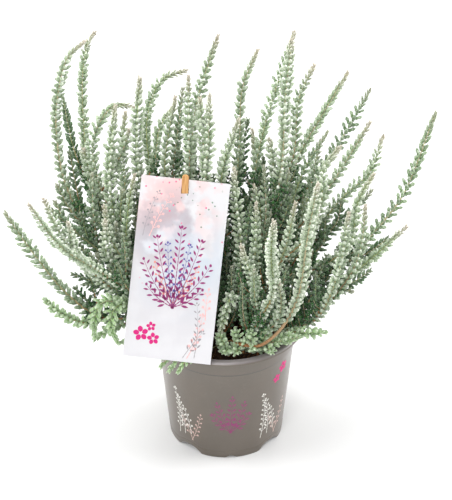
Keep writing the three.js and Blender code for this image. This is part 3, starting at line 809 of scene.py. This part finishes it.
def makeCard():
    bm = bmesh.new()
    bmesh.ops.create_cube(bm, size=1)
    width, thickness, length = (card[name] * mm for name in ("width", "thickness", "length"))
    size = Matrix.Diagonal((width, thickness, length, 1))
    bmesh.ops.transform(bm, matrix=Matrix.Translation((0, 0, length / 2)) @ size, verts=bm.verts)
    for axis, cuts in ((2, card["rows"]), (0, card["columns"])):
        runs = [edge for edge in bm.edges if abs(edge.verts[0].co[axis] - edge.verts[1].co[axis]) > mm]
        bmesh.ops.subdivide_edges(bm, edges=runs, cuts=cuts, use_grid_fill=True)
    bmesh.ops.transform(bm, matrix=cardFrame, verts=bm.verts)
    mesh = toMesh(bm, "hangCard")
    piece = addPiece("hangCard", mesh, [paperFinish()], ["hang_card"], flat=True)
    slot = splintShape(card["clearance"])
    bmesh.ops.transform(slot, matrix=stakeFrame, verts=slot.verts)
    cutWith(piece, slot)
    print("card and stake made")


# Leafy shoots
leaf = {
    "halfWidth": 0.37, "thickness": 0.19, "waist": 0.68, "tipCurl": 0.06, "leanSway": 4, "turnSway": 8,
    "woolAndLightFrom": 0.43,  # height in the tuft from which leaves have all their wool and painted light; lower pairs are darker, as painted shade at the bead's base
    "insideWool": 0.05, "outsideWool": 0.4, "edgeGain": 0.35, "tipWool": 0.55, "tipGain": 0.45,
    "flesh": ((112, 148, 80), (14, 48, 10)),  # each colour in the light, and deep in the plant, where it is darker with painted shade
    "lively": ((138, 184, 96), (26, 78, 16)),
    "felt": ((248, 250, 241), (52, 106, 42)),
    "blush": ((190, 170, 148), (234, 216, 208)),  # on flesh and on felt
    "dull": (96, 112, 78), "dullShare": 0.35,
}
tufts = {  # leaf pairs of a tuft of length 1: height, length, lean in degrees, offset from the axis
    "full": [(0, 0.55, 26, 0.06), (0.14, 0.55, 12, 0.17), (0.32, 0.52, -4, 0.23), (0.5, 0.5, -20, 0.21)],
    "open": [(0, 0.6, 26, 0.06), (0.2, 0.58, 8, 0.18), (0.42, 0.56, -14, 0.2)],
    "small": [(0, 0.55, 22, 0.08), (0.22, 0.52, 6, 0.17), (0.46, 0.52, -14, 0.16)],
    "bud": [(0, 0.66, 18, 0.12), (0.34, 0.64, -10, 0.16)],
}
shoots = {  # in mm and degrees; a sway is how far single tufts stray from the rule
    "tipPitch": 1.5, "spread": 44, "tipSpread": 16, "collar": 12, "lowest": 0.75,
    "taper": 32, "last": 0.45, "girth": 0.3, "tipBud": 2.6,
    "leanSway": 12, "reachSway": (0.84, 1.14), "widthSway": (0.88, 1.18), "turnSway": 0.15, "shadeSway": 0.14,
    "dimBelow": 150, "dimOver": 60, "dimMost": 0.5, "collarShade": 0.25,  # painted shade: low and first tufts get a darker, greener colour
}
stem = {"ring": 4, "sides": 6, "tip": 0.32, "inPeat": (90, 96), "seed": 100}
twig = {
    "from": 60, "first": (5, 9), "every": 4.2, "sway": (0.7, 1.4), "pastBare": 0.16, "rise": (0.3, 1.4),
    "reach": (12, 26), "shortBeyond": 70, "shorter": 0.6, "stem": (0.4, 0.25), "leaves": 4.8, "bare": 0.08,
}
inner = {
    "from": 90, "at": (0.12, 0.2, 0.28, 0.36), "reach": (34, 62), "stem": (0.55, 0.3), "leaves": 4.8,
    "bare": 0.1, "looks": ("dusk", "dusk", "grey"),
}
clear = {  # in mm: the room that leaves keep free, in the card's frame and by radius and height
    "besideCard": 35, "pastCard": 3, "beforeCard": 60, "behindCard": 2.5,
    "insidePot": 52, "peatTop": 93, "overRim": 104, "besidePot": 62,
}
looks = {  # shade 0 is silvery, 1 a deep green that is partly the shoot's own colour and partly painted shade; warm turns grey-green into fresh green
    "silver": {"shade": 0.2, "warm": 0.15, "blush": 0.7, "pitch": 2.6, "width": 3.8},
    "pale": {"shade": 0.0, "warm": 0.05, "blush": 0.6, "pitch": 2.5, "width": 4.2},
    "grey": {"shade": 0.5, "warm": 0.3, "blush": 0.35, "pitch": 2.7, "width": 3.6},
    "dusk": {"shade": 0.8, "warm": 0.5, "blush": 0.15, "pitch": 2.7, "width": 3.6},
    "fresh": {"shade": 0.08, "warm": 0.85, "blush": 0.0, "pitch": 2.4, "width": 4.2},
    "loose": {"shade": 0.38, "warm": 0.35, "blush": 0.3, "pitch": 3.2, "width": 4.0},
    "deep": {"shade": 1.0, "warm": 0.8, "blush": 0.0, "pitch": 2.7, "width": 3.6},
}
slim, plain, broad, wide = 5.5, 5.9, 6.5, 7.2  # reach of the leaf tufts from the stem's middle, in mm


def shootOf(look, reach, route, bare, stem, twigs):
    return {"look": look, "reach": reach, "route": route, "bare": bare, "stem": stem, "twigs": twigs}


def leader(foot, look, reach, *route, bare=0.3, stem=1.15, twigs=True):
    return {"foot": foot, **shootOf(look, reach, route, bare, stem, twigs)}


def branch(fork, look, reach, *route, bare=0.1, stem=0.65):
    return {"fork": fork, **shootOf(look, reach, route, bare, stem, True)}


# A spray's leader rises from its foot in the peat, and its branches fork off the leader at a share of its
# length. Routes are in mm; bare is the leafless share of a shoot's length, and stem its radius at the foot.
sprays = {
    "spray_left_tall": [
        leader((-34, 10), "silver", plain, (-62, 11, 120), (-96, 12, 155), (-120, 31, 204), (-125, 36, 246),
               (-122, 33, 280), (-114, 30, 310), (-102, 28, 324), stem=1.7),
        branch(0.4, "grey", plain, (-116, 12, 174), (-127, 18, 194)),
        branch(0.42, "dusk", plain, (-111, 33, 190), (-116, 35, 227)),
        branch(0.4, "grey", broad, (-118, 22, 188), (-125, 22, 206)),
    ],
    "spray_left_back": [
        leader((-29, 19), "silver", plain, (-60, 30, 130), (-100, 47, 180), (-107, 70, 231),
               (-107, 82, 268), (-103, 92, 287), (-98, 95, 294), bare=0.36),
        branch(0.48, "dusk", plain, (-114, 64, 208), (-123, 84, 244), bare=0.05),
        branch(0.44, "silver", broad, (-99, 42, 189), (-106, 46, 222)),
    ],
    "spray_left_arching": [
        leader((-26, 9), "silver", plain, (-52, 15, 130), (-88, 24, 186), (-99, 46, 230), (-84, 62, 250),
               (-69, 68, 246), bare=0.36),
        branch(0.6, "silver", plain, (-76, 31, 232), (-71, 32, 248)),
        branch(0.4, "grey", plain, (-78, 4, 190), (-76, 6, 212)),
    ],
    "spray_left_pale": [
        leader((-22, 2), "pale", broad, (-48, -2, 130), (-76, -2, 166), (-86, 16, 215), (-81, 34, 267),
               bare=0.26),
        branch(0.5, "silver", plain, (-75, 24, 208), (-77, 34, 230), (-74, 42, 257), bare=0.12),
    ],
    "spray_card_left": [
        leader((-18, 9), "pale", broad, (-42, 15, 140), (-64, 23, 212), (-65, 25, 256), (-62, 25, 296),
               bare=0.36),
        branch(0.56, "silver", slim, (-53, 34, 221), (-49, 45, 242), (-39, 52, 256)),
    ],
    "spray_card_left_back": [
        leader((-15, 17), "silver", plain, (-34, 34, 146), (-57, 52, 204), (-58, 72, 242), (-47, 84, 261),
               (-30, 88, 266), bare=0.34),
        branch(0.42, "grey", plain, (-36, 54, 233), (-32, 66, 263), bare=0.12),
    ],
    "spray_behind_card": [
        leader((-11, 5), "silver", plain, (-28, 10, 150), (-45, 19, 218), (-37, 30, 277), bare=0.36),
        branch(0.42, "silver", plain, (-27, 11, 222), (-27, 13, 262), (-27, 14, 304)),
    ],
    "spray_top_left": [
        leader((-7, 17), "silver", plain, (-14, 24, 150), (-25, 35, 222), (-22, 43, 262), (-13, 48, 294),
               (-6, 50, 316), bare=0.4),
    ],
    "spray_card_top": [
        leader((-4, 4), "pale", broad, (-9, 4, 150), (-15, 6, 226), (-13, 12, 248), (-12, 22, 283),
               bare=0.36),
        branch(0.7, "pale", plain, (-17, 17, 254), (-19, 26, 278), bare=0.05),
    ],
    "spray_middle_back": [
        leader((2, 13), "silver", plain, (5, 20, 160), (10, 35, 240), (12, 40, 279), (23, 40, 311),
               bare=0.36),
        branch(0.5, "dusk", plain, (12, 40, 222), (16, 52, 244)),
    ],
    "spray_middle_pale": [
        leader((3, 2), "pale", broad, (-1, 6, 160), (-3, 9, 224), (9, 23, 262)),
    ],
    "spray_card_right": [
        leader((3, -9), "pale", broad, (9, -10, 132), (11, -8, 173), (7, 0, 210), (6, 6, 230), bare=0.16),
        branch(0.1, "silver", plain, (22, -35, 152), (18, -44, 172), (11, -49, 200), bare=0.3),
    ],
    "spray_right_back_tall": [
        leader((9, 13), "silver", plain, (16, 22, 155), (23, 41, 217), (32, 62, 246), (51, 95, 295),
               bare=0.34),
        branch(0.34, "dusk", plain, (27, 40, 181), (28, 46, 214)),
    ],
    "spray_right_tall": [
        leader((13, 7), "pale", broad, (26, 10, 155), (40, 17, 216), (43, 20, 284), (47, 22, 329)),
        branch(0.42, "silver", plain, (50, 28, 230), (53, 38, 270), (64, 43, 296)),
        branch(0.4, "pale", broad, (36, 24, 208), (32, 30, 241)),
        branch(0.3, "dusk", plain, (40, 6, 180), (48, 8, 204)),
    ],
    "spray_right_leaning": [
        leader((19, 14), "silver", plain, (36, 26, 150), (55, 46, 218), (70, 62, 239), (91, 84, 266)),
        branch(0.38, "grey", plain, (72, 46, 206), (88, 58, 227), (108, 80, 254)),
    ],
    "spray_right_inner": [
        leader((20, 5), "grey", slim, (38, 12, 150), (57, 22, 218), (75, 42, 240)),
        branch(0.36, "silver", plain, (74, 15, 205), (89, 20, 230), (105, 26, 258), bare=0.08),
    ],
    "spray_right_side": [
        leader((28, 12), "silver", plain, (52, 18, 140), (86, 30, 189), (107, 44, 203), (118, 62, 224),
               bare=0.26),
        branch(0.4, "dusk", plain, (82, 22, 171), (86, 24, 190)),
        branch(0.3, "dusk", plain, (72, 14, 158), (74, 14, 182)),
    ],
    "spray_right_long": [
        leader((35, 10), "loose", broad, (60, 12, 120), (90, 15, 143), (114, 36, 158), (134, 54, 176),
               (158, 82, 231), bare=0.26, stem=1.6),
        branch(0.36, "dusk", plain, (108, 14, 152), (121, 18, 161)),
        branch(0.3, "grey", plain, (97, 8, 152), (105, 10, 164)),
    ],
    "spray_right_pale": [
        leader((24, -3), "pale", broad, (44, -2, 140), (70, 1, 205), (71, 9, 228), (83, 18, 241),
               bare=0.26),
        branch(0.26, "pale", plain, (90, -8, 172), (97, -1, 208), (108, 6, 226)),
    ],
    "spray_right_low": [
        leader((34, -4), "silver", plain, (62, -4, 116), (92, -4, 142), (111, 4, 155), (134, 14, 174),
               bare=0.26, stem=1.5),
        branch(0.3, "grey", plain, (82, -18, 140), (93, -26, 144)),
        branch(0.36, "dusk", plain, (97, -20, 150), (106, -24, 161)),
    ],
    "spray_right_front": [
        leader((30, -14), "silver", slim, (48, -24, 108), (66, -32, 122), (82, -45, 177), (87, -54, 232),
               bare=0.24),
        branch(0.3, "silver", slim, (92, -26, 160), (99, -24, 186), (101, -22, 217)),
        branch(0.12, "fresh", plain, (58, -38, 115), (74, -43, 119)),
        branch(0.22, "dusk", plain, (67, -14, 142), (74, -12, 166)),
        branch(0.1, "fresh", plain, (46, -42, 112), (54, -48, 118)),
    ],
    "spray_front_bent": [
        leader((9, -21), "pale", wide, (5, -36, 105), (12, -45, 109), (24, -48, 110), (34, -50, 119),
               (44, -51, 134), (53, -54, 162), (58, -59, 214), (64, -66, 263), bare=0.38, stem=1.7,
               twigs=False),
        branch(0.04, "fresh", plain, (0, -27, 98), (-10, -30, 95), bare=1, stem=0.8),
    ],
    "spray_front_right": [
        leader((15, -9), "silver", plain, (30, -18, 140), (43, -26, 182), (50, -27, 222), bare=0.2),
        branch(0.6, "silver", plain, (60, -18, 188), (67, -14, 206)),
        branch(0.3, "dusk", plain, (55, -8, 156), (61, -4, 182)),
    ],
    "spray_front_middle": [
        leader((11, -2), "grey", slim, (18, -4, 140), (29, 2, 186), (28, 20, 224)),
        branch(0.3, "silver", slim, (21, -22, 170), (22, -16, 215)),
        branch(0.6, "silver", plain, (25, 8, 196), (21, 12, 211)),
        branch(0.3, "dusk", plain, (15, -6, 176), (18, -4, 206)),
        branch(0.26, "dusk", plain, (27, -10, 168), (31, -6, 192)),
    ],
    "spray_front_leaning": [
        leader((13, -33), "pale", broad, (24, -44, 130), (35, -57, 166), (32, -70, 202), (33, -88, 247),
               bare=0.16),
        branch(0.1, "silver", plain, (36, -46, 128), (40, -56, 156), (38, -60, 176), bare=0.16),
        branch(0.03, "fresh", plain, (15, -41, 106), (13, -46, 113)),
    ],
    "spray_front_drooping": [
        leader((-3, -22), "pale", plain, (2, -24, 122), (4, -31, 143), (-1, -40, 134), (-5, -43, 114),
               bare=0.34),
    ],
    "spray_low_front": [
        leader((2, -38), "fresh", plain, (-1, -41, 104), (-5, -42, 109), bare=0.2),
        branch(0.3, "fresh", broad, (-2, -44, 110), (-5, -46, 119)),
        branch(0.3, "fresh", broad, (1, -45, 104), (-1, -50, 105)),
        branch(0.3, "fresh", broad, (8, -44, 104), (8, -50, 105)),
        branch(0.3, "fresh", broad, (8, -40, 108), (7, -42, 120)),
    ],
    "spray_low_front_right": [
        leader((24, -36), "fresh", plain, (30, -40, 106), (42, -46, 113), bare=0.2),
        branch(0.2, "fresh", plain, (22, -44, 105), (19, -50, 111)),
        branch(0.2, "fresh", broad, (18, -43, 108), (19, -46, 122)),
        branch(0.2, "fresh", broad, (28, -42, 110), (30, -44, 122)),
        branch(0.2, "fresh", broad, (30, -46, 106), (34, -51, 108)),
        branch(0.2, "fresh", plain, (38, -40, 108), (47, -42, 116)),
    ],
    "spray_card_edge": [
        leader((-20, -7), "silver", plain, (-48, -12, 126), (-72, -11, 160), (-71, 0, 206), (-67, 5, 226)),
        branch(0.36, "pale", plain, (-86, -18, 168), (-88, -23, 204)),
        branch(0.16, "fresh", plain, (-60, -36, 116), (-78, -47, 112)),
        branch(0.2, "fresh", wide, (-74, -34, 138), (-90, -44, 147), (-96, -48, 138), (-97, -50, 120),
               bare=0.3),
        branch(0.2, "fresh", wide, (-70, -30, 136), (-82, -46, 142), (-85, -52, 132), (-80, -52, 117),
               bare=0.3),
        branch(0.3, "grey", plain, (-80, -8, 158), (-81, -4, 188)),
        branch(0.3, "silver", plain, (-84, -14, 180), (-89, -10, 209)),
        branch(0.06, "fresh", plain, (-30, -46, 107), (-43, -57, 105), (-48, -61, 101), bare=0.3),
        branch(0.06, "fresh", plain, (-26, -46, 107), (-38, -60, 104), (-42, -64, 99), bare=0.3),
        branch(0.06, "fresh", plain, (-22, -46, 107), (-31, -60, 103), (-35, -65, 99), bare=0.3),
    ],
    "spray_left_middle": [
        leader((-31, 1), "dusk", plain, (-62, 0, 122), (-94, 0, 162), (-109, -7, 182), (-127, -18, 211),
               stem=1.5),
        branch(0.62, "grey", plain, (-98, 4, 194), (-98, 12, 222), bare=0.05),
        branch(0.34, "dusk", plain, (-98, -8, 140), (-114, -10, 148)),
        branch(0.4, "dusk", plain, (-98, -10, 158), (-108, -14, 178)),
        branch(0.3, "dusk", plain, (-92, -12, 140), (-105, -22, 147)),
        branch(0.3, "grey", plain, (-91, -12, 144), (-95, -14, 168)),
    ],
    "spray_left_front": [
        leader((-27, -9), "silver", slim, (-58, -16, 120), (-90, -29, 154), (-116, -50, 207),
               (-128, -64, 250)),
        branch(0.52, "pale", slim, (-108, -46, 192), (-112, -56, 225), bare=0.05),
    ],
    "spray_left_foremost": [
        leader((-26, -20), "silver", slim, (-58, -27, 133), (-90, -44, 173), (-118, -74, 218),
               (-136, -93, 265)),
    ],
    "spray_left_long": [
        leader((-33, -10), "loose", wide, (-62, -15, 109), (-96, -19, 117), (-117, -25, 140),
               (-140, -34, 183), (-158, -40, 222), bare=0.26, stem=1.5),
        branch(0.34, "fresh", plain, (-104, -29, 117), (-122, -40, 134), (-133, -46, 151), bare=0.05),
        branch(0.22, "fresh", plain, (-82, -32, 116), (-97, -42, 112)),
        branch(0.34, "dusk", plain, (-102, -16, 126), (-112, -18, 141)),
    ],
    "spray_rear_left": [
        leader((-24, 28), "silver", plain, (-48, 48, 128), (-76, 70, 164), (-88, 88, 205), bare=0.2),
        branch(0.3, "grey", plain, (-92, 60, 142), (-122, 74, 170)),
        branch(0.12, "fresh", plain, (-54, 50, 114), (-74, 62, 112)),
    ],
    "spray_rear_middle_left": [
        leader((-10, 29), "silver", plain, (-20, 52, 132), (-34, 72, 172), (-38, 90, 216), bare=0.2),
        branch(0.14, "fresh", plain, (-18, 62, 112), (-22, 80, 114)),
    ],
    "spray_rear_middle_right": [
        leader((8, 29), "silver", plain, (16, 50, 132), (24, 70, 172), (20, 90, 212), bare=0.2),
        branch(0.14, "fresh", plain, (20, 62, 112), (28, 80, 116)),
    ],
    "spray_rear_right": [
        leader((22, 27), "silver", plain, (44, 46, 128), (62, 68, 164), (72, 88, 204), bare=0.2),
        branch(0.3, "grey", plain, (84, 60, 142), (112, 76, 166)),
        branch(0.12, "fresh", plain, (54, 48, 114), (74, 58, 112)),
    ],
}


def leafFinish():
    settings = {"Roughness": 0.72, "Specular IOR Level": 0.25, "Sheen Weight": 0.4, "Sheen Roughness": 0.45}
    finish, tree, shader = startFinish("leafFinish", settings)
    names = ("wool", "shade", "ripe", "tone", "warm")
    wool, shade, ripe, tone, warm = (readValue(tree, name) for name in names)
    # the shade value mixes each colour from lit towards painted shade
    flesh, lively, felt = (
        mixColours(tree, shade, *[paint(*colour) for colour in leaf[name]])
        for name in ("flesh", "lively", "felt")
    )
    flesh = mixColours(tree, warm, flesh, lively)
    felt = mixColours(tree, combine(tree, "MULTIPLY", warm, 0.4), felt, mixColours(tree, shade, lively, felt))
    colour = mixColours(tree, wool, flesh, felt)
    blush = mixColours(tree, wool, *[paint(*colour) for colour in leaf["blush"]])
    colour = mixColours(tree, ripe, colour, blush)
    dull = mixColours(tree, spread(tree, tone, 0.0, 0.5), colour, paint(*leaf["dull"]), "MULTIPLY")
    colour = mixColours(tree, leaf["dullShare"], colour, dull)
    grain = useGroup(tree, "relief", place=objectPlace(tree), scale=2600.0, strength=0.35, depth=0.00015)
    wireSurface(tree, shader, {"Base Color": colour, "Normal": grain})
    return finish


bark = {  # two colours that stems vary between
    "old": ((142, 96, 58), (192, 140, 92)), "young": ((196, 182, 150), (164, 178, 122)),
    "youngFrom": (0.2, 0.6),  # share of a shoot's length over which bark turns from old to young
    "scars": (92, 60, 38), "scarShare": 0.5,
}


def barkFinish():
    finish, tree, shader = startFinish("barkFinish", {"Roughness": 0.7, "Specular IOR Level": 0.3})
    place = objectPlace(tree)
    age, tone = readValue(tree, "age"), readValue(tree, "tone")
    old, young = (
        mixColours(tree, tone, *[paint(*colour) for colour in bark[name]]) for name in ("old", "young")
    )
    colour = mixColours(tree, spread(tree, age, 0.0, 1.0, *bark["youngFrom"]), old, young)
    scars = useGroup(tree, "mottle", place=place, scale=700.0, detail=5.0, low=0.5, high=0.72)
    scarred = combine(tree, "MULTIPLY", scars, bark["scarShare"])
    colour = mixColours(tree, scarred, colour, paint(*bark["scars"]))
    grain = useGroup(tree, "relief", place=place, scale=1400.0, strength=0.6, depth=0.0003)
    wireSurface(tree, shader, {"Base Color": colour, "Normal": grain})
    return finish


def makeTuft(name, rows):  # crossed pairs of small keeled leaves that make a bead of length and width 1
    rng = random.Random(name)
    bm = bmesh.new()
    wool = bm.verts.layers.float.new("wool")
    size = {"cap_ends": True, "segments": 3, "radius1": 1, "radius2": 0, "depth": 1 - leaf["waist"]}
    for row, (height, length, lean, offset) in enumerate(rows):
        for side in (0, 1):
            verts = bmesh.ops.create_cone(bm, **size)["verts"]
            waist = [vert for vert in verts if vert.co.z < 0]
            tip = next(vert for vert in verts if vert.co.z > 0)
            under = next(face for face in waist[0].link_faces if all(vert in waist for vert in face.verts))
            foot = bmesh.ops.poke(bm, faces=[under])["verts"][0]
            foot.co.z -= leaf["waist"]
            tip.co.y -= leaf["tipCurl"] / leaf["thickness"]
            # lower pairs get less pale wool: real felt, and painted shade at the bead's base
            outer = min(1, height / leaf["woolAndLightFrom"])
            for vert in waist:
                start = leaf["insideWool"] if vert.co.y > 0 else leaf["outsideWool"]
                vert[wool] = start + leaf["edgeGain"] * outer
            tip[wool] = leaf["tipWool"] + leaf["tipGain"] * outer
            foot[wool] = 0
            raised = Matrix.Translation((0, 0, (1 + leaf["waist"]) * length / 2))
            shape = Matrix.Diagonal((leaf["halfWidth"], leaf["thickness"], length, 1))
            tilt = math.radians(lean + rng.uniform(-leaf["leanSway"], leaf["leanSway"]))
            turn = math.radians(90 * row + 180 * side + rng.uniform(-leaf["turnSway"], leaf["turnSway"]))
            root = Matrix.Rotation(turn, 4, "Z") @ Matrix.Translation((0, offset, height))
            matrix = root @ Matrix.Rotation(-tilt, 4, "X") @ raised @ shape
            bmesh.ops.transform(bm, matrix=matrix, verts=[*verts, foot])
    bmesh.ops.recalc_face_normals(bm, faces=bm.faces)
    return toMesh(bm, name)


def addTuft(bm, template, point, along, side, angle, length, width, **values):
    forward = along * math.cos(angle) + side * math.sin(angle)
    back = side * math.cos(angle) - along * math.sin(angle)
    basis = Matrix((back.cross(forward), back, forward)).transposed().to_4x4()
    size = Matrix.Diagonal((width, width, length, 1))
    addCopy(bm, template, Matrix.Translation(point) @ basis @ size, **values)


def growLeaves(bm, templates, route, shoot, rng):  # tufts in crossed pairs, from the bare foot to the tip
    look = looks[shoot["look"]]
    length = route["length"] / mm
    collar = length * shoot["bare"]
    taper = min(shoots["taper"], 0.3 * length)
    opened, closed, tipPitch = shoots["spread"], shoots["tipSpread"], shoots["tipPitch"]
    distance = collar
    turn = rng.uniform(0, math.tau)
    side = Vector((math.cos(turn), math.sin(turn), 0.01))
    while distance < length:
        ripe = min(1, (length - distance) / taper)
        grown = min(1, (distance - collar) / shoots["collar"])
        share = (shoots["lowest"] + (1 - shoots["lowest"]) * grown) * (
            shoots["last"] + (1 - shoots["last"]) * ripe**0.7
        )
        point, along = placeOn(route, distance * mm)
        side = (side - along * side.dot(along)).normalized()
        # painted shade: tufts low in the plant and near the bare collar get darker colours
        dim = max(0, min(1, (shoots["dimBelow"] - point.z / mm) / shoots["dimOver"])) * shoots["dimMost"]
        shade = look["shade"] + dim * (1 - look["warm"]) + shoots["collarShade"] * (1 - grown)
        angle = math.radians(closed + (opened - closed) * ripe**0.8)
        width = look["width"] * share
        out = shoot["reach"] - shoots["girth"] - 0.2 * look["width"]
        size = out / math.sin(math.radians(opened)) * share
        for way in (1, -1):
            kind = shoot.get("tuft") or ("small" if ripe < 0.5 else rng.choice(("full", "full", "open")))
            lean = angle + math.radians(rng.uniform(-shoots["leanSway"], shoots["leanSway"]))
            reach = size * rng.uniform(*shoots["reachSway"]) * mm
            if not isClear(point + (along * math.cos(lean) + side * way * math.sin(lean)) * reach):
                continue
            addTuft(
                bm, templates[kind], point + side * way * shoots["girth"] * mm, along, side * way, lean,
                reach, width * rng.uniform(*shoots["widthSway"]) * mm,
                shade=max(0, min(1, shade + rng.uniform(-shoots["shadeSway"], shoots["shadeSway"]))),
                ripe=(1 - ripe) ** 2.5 * look["blush"], tone=rng.random(), warm=look["warm"],
            )
        side = (along.cross(side) + side * rng.uniform(-shoots["turnSway"], shoots["turnSway"])).normalized()
        distance += tipPitch + (look["pitch"] - tipPitch) * min(1, ripe * 1.4)
    point, along = placeOn(route, route["length"])
    if shoot["bare"] < 1:
        bud = shoots["tipBud"] * mm
        addTuft(
            bm, templates["small"], point - along * mm, along, side, 0, bud, bud,
            shade=look["shade"], ripe=look["blush"], tone=rng.random(), warm=look["warm"],
        )


def isClear(point):  # outside the pot's wall, above the peat, and neither in the card nor before it
    across, before, up = toCard @ point / mm
    if (
        abs(across) < clear["besideCard"] and -clear["beforeCard"] < before < clear["behindCard"]
        and -clear["pastCard"] < up < card["length"] + clear["pastCard"]
    ):
        return False
    height, reach = point.z / mm, point.xy.length / mm
    if reach < clear["insidePot"]:
        return height > clear["peatTop"]
    return height > clear["overRim"] or reach > clear["besidePot"]


def addStem(bm, route, startRadius, endRadius, rng):
    wood = sweepStem(route, startRadius * mm, endRadius * mm, stem["ring"] * mm, stem["sides"])
    markAll(wood, tone=rng.random())
    wood.polygons.foreach_set("material_index", [1] * len(wood.polygons))
    bm.from_mesh(wood)
    bpy.data.meshes.remove(wood)


def growTwigs(bm, templates, route, bare, rng):  # short dark twigs of single leaves on the bare wood
    distance = rng.uniform(*twig["first"])
    while distance < route["length"] / mm * (bare + twig["pastBare"]):
        point, along = placeOn(route, distance * mm)
        turn = rng.uniform(0, math.tau)
        out = Vector((math.cos(turn), math.sin(turn), rng.uniform(*twig["rise"]))).normalized()
        shorter = twig["shorter"] if point.xy.length > twig["shortBeyond"] * mm else 1
        half = rng.uniform(*twig["reach"]) * shorter * mm * 0.5
        middle = point + (out + along * 0.4).normalized() * half
        stop = middle + (out * 0.5 + zAxis).normalized() * half
        if isClear(stop) and isClear(middle):
            line = startRoute([point, middle, stop])
            addStem(bm, line, *twig["stem"], rng)
            shoot = {"look": "deep", "reach": twig["leaves"], "bare": twig["bare"], "tuft": "bud"}
            growLeaves(bm, templates, line, shoot, rng)
        distance += twig["every"] * rng.uniform(*twig["sway"])


def growInner(bm, templates, route, rng):  # half-length shoots that fill the middle of the plant
    for share in inner["at"]:
        start, along = placeOn(route, route["length"] * share)
        turn = rng.uniform(0, math.tau)
        out = Vector((math.cos(turn), math.sin(turn), 0))
        half = rng.uniform(*inner["reach"]) * mm * 0.5
        middle = start + (along * 0.7 + zAxis * 0.7 + out * 0.5).normalized() * half
        stop = middle + (along * 0.3 + zAxis + out * 0.15).normalized() * half
        if isClear(stop) and isClear(middle):
            line = startRoute([start, middle, stop])
            addStem(bm, line, *inner["stem"], rng)
            look = rng.choice(inner["looks"])
            shoot = {"look": look, "reach": inner["leaves"], "bare": inner["bare"], "tuft": "bud"}
            growLeaves(bm, templates, line, shoot, rng)


def makeSprays():
    finishes = [leafFinish(), barkFinish()]
    templates = {name: makeTuft(name, rows) for name, rows in tufts.items()}
    total = 0
    for index, (name, growth) in enumerate(sprays.items()):
        rng = random.Random(stem["seed"] + index)
        bm = bmesh.new()
        for shoot in growth:
            if "foot" in shoot:
                points = [Vector((*shoot["foot"], height)) * mm for height in stem["inPeat"]]
            else:
                points = [placeOn(main, main["length"] * shoot["fork"])[0]]
            route = startRoute(points + [Vector(point) * mm for point in shoot["route"]])
            addStem(bm, route, shoot["stem"], stem["tip"], rng)
            growLeaves(bm, templates, route, shoot, rng)
            if shoot["twigs"] and route["length"] > twig["from"] * mm:
                growTwigs(bm, templates, route, shoot["bare"], rng)
            if "foot" in shoot:
                main = route
                if shoot["twigs"] and route["length"] > inner["from"] * mm:
                    growInner(bm, templates, route, rng)
        words = name.split("_")
        pieceName = words[0] + "".join(word.capitalize() for word in words[1:])
        mesh = toMesh(bm, pieceName)
        total += sum(len(face.vertices) - 2 for face in mesh.polygons)
        addPiece(pieceName, mesh, finishes, [name])
    for template in templates.values():
        bpy.data.meshes.remove(template)
    print("sprays made:", total, "triangles")


def makeFloor():
    bm = bmesh.new()
    bmesh.ops.create_grid(bm, x_segments=1, y_segments=1, size=studio["floorSize"] / 2)
    floor = addObject("floor", toMesh(bm, "floor"))
    tone = studio["floorTone"]
    finish = startFinish("paleFloor", {"Base Color": (tone, tone, tone, 1), "Roughness": 0.9})[0]
    floor.data.materials.append(finish)


makeCamera()
makeStudio()
makeFloor()
makePot(plasticFinish())
makePeat()
makeSprays()
makeStake()
makeCard()
makePrints()
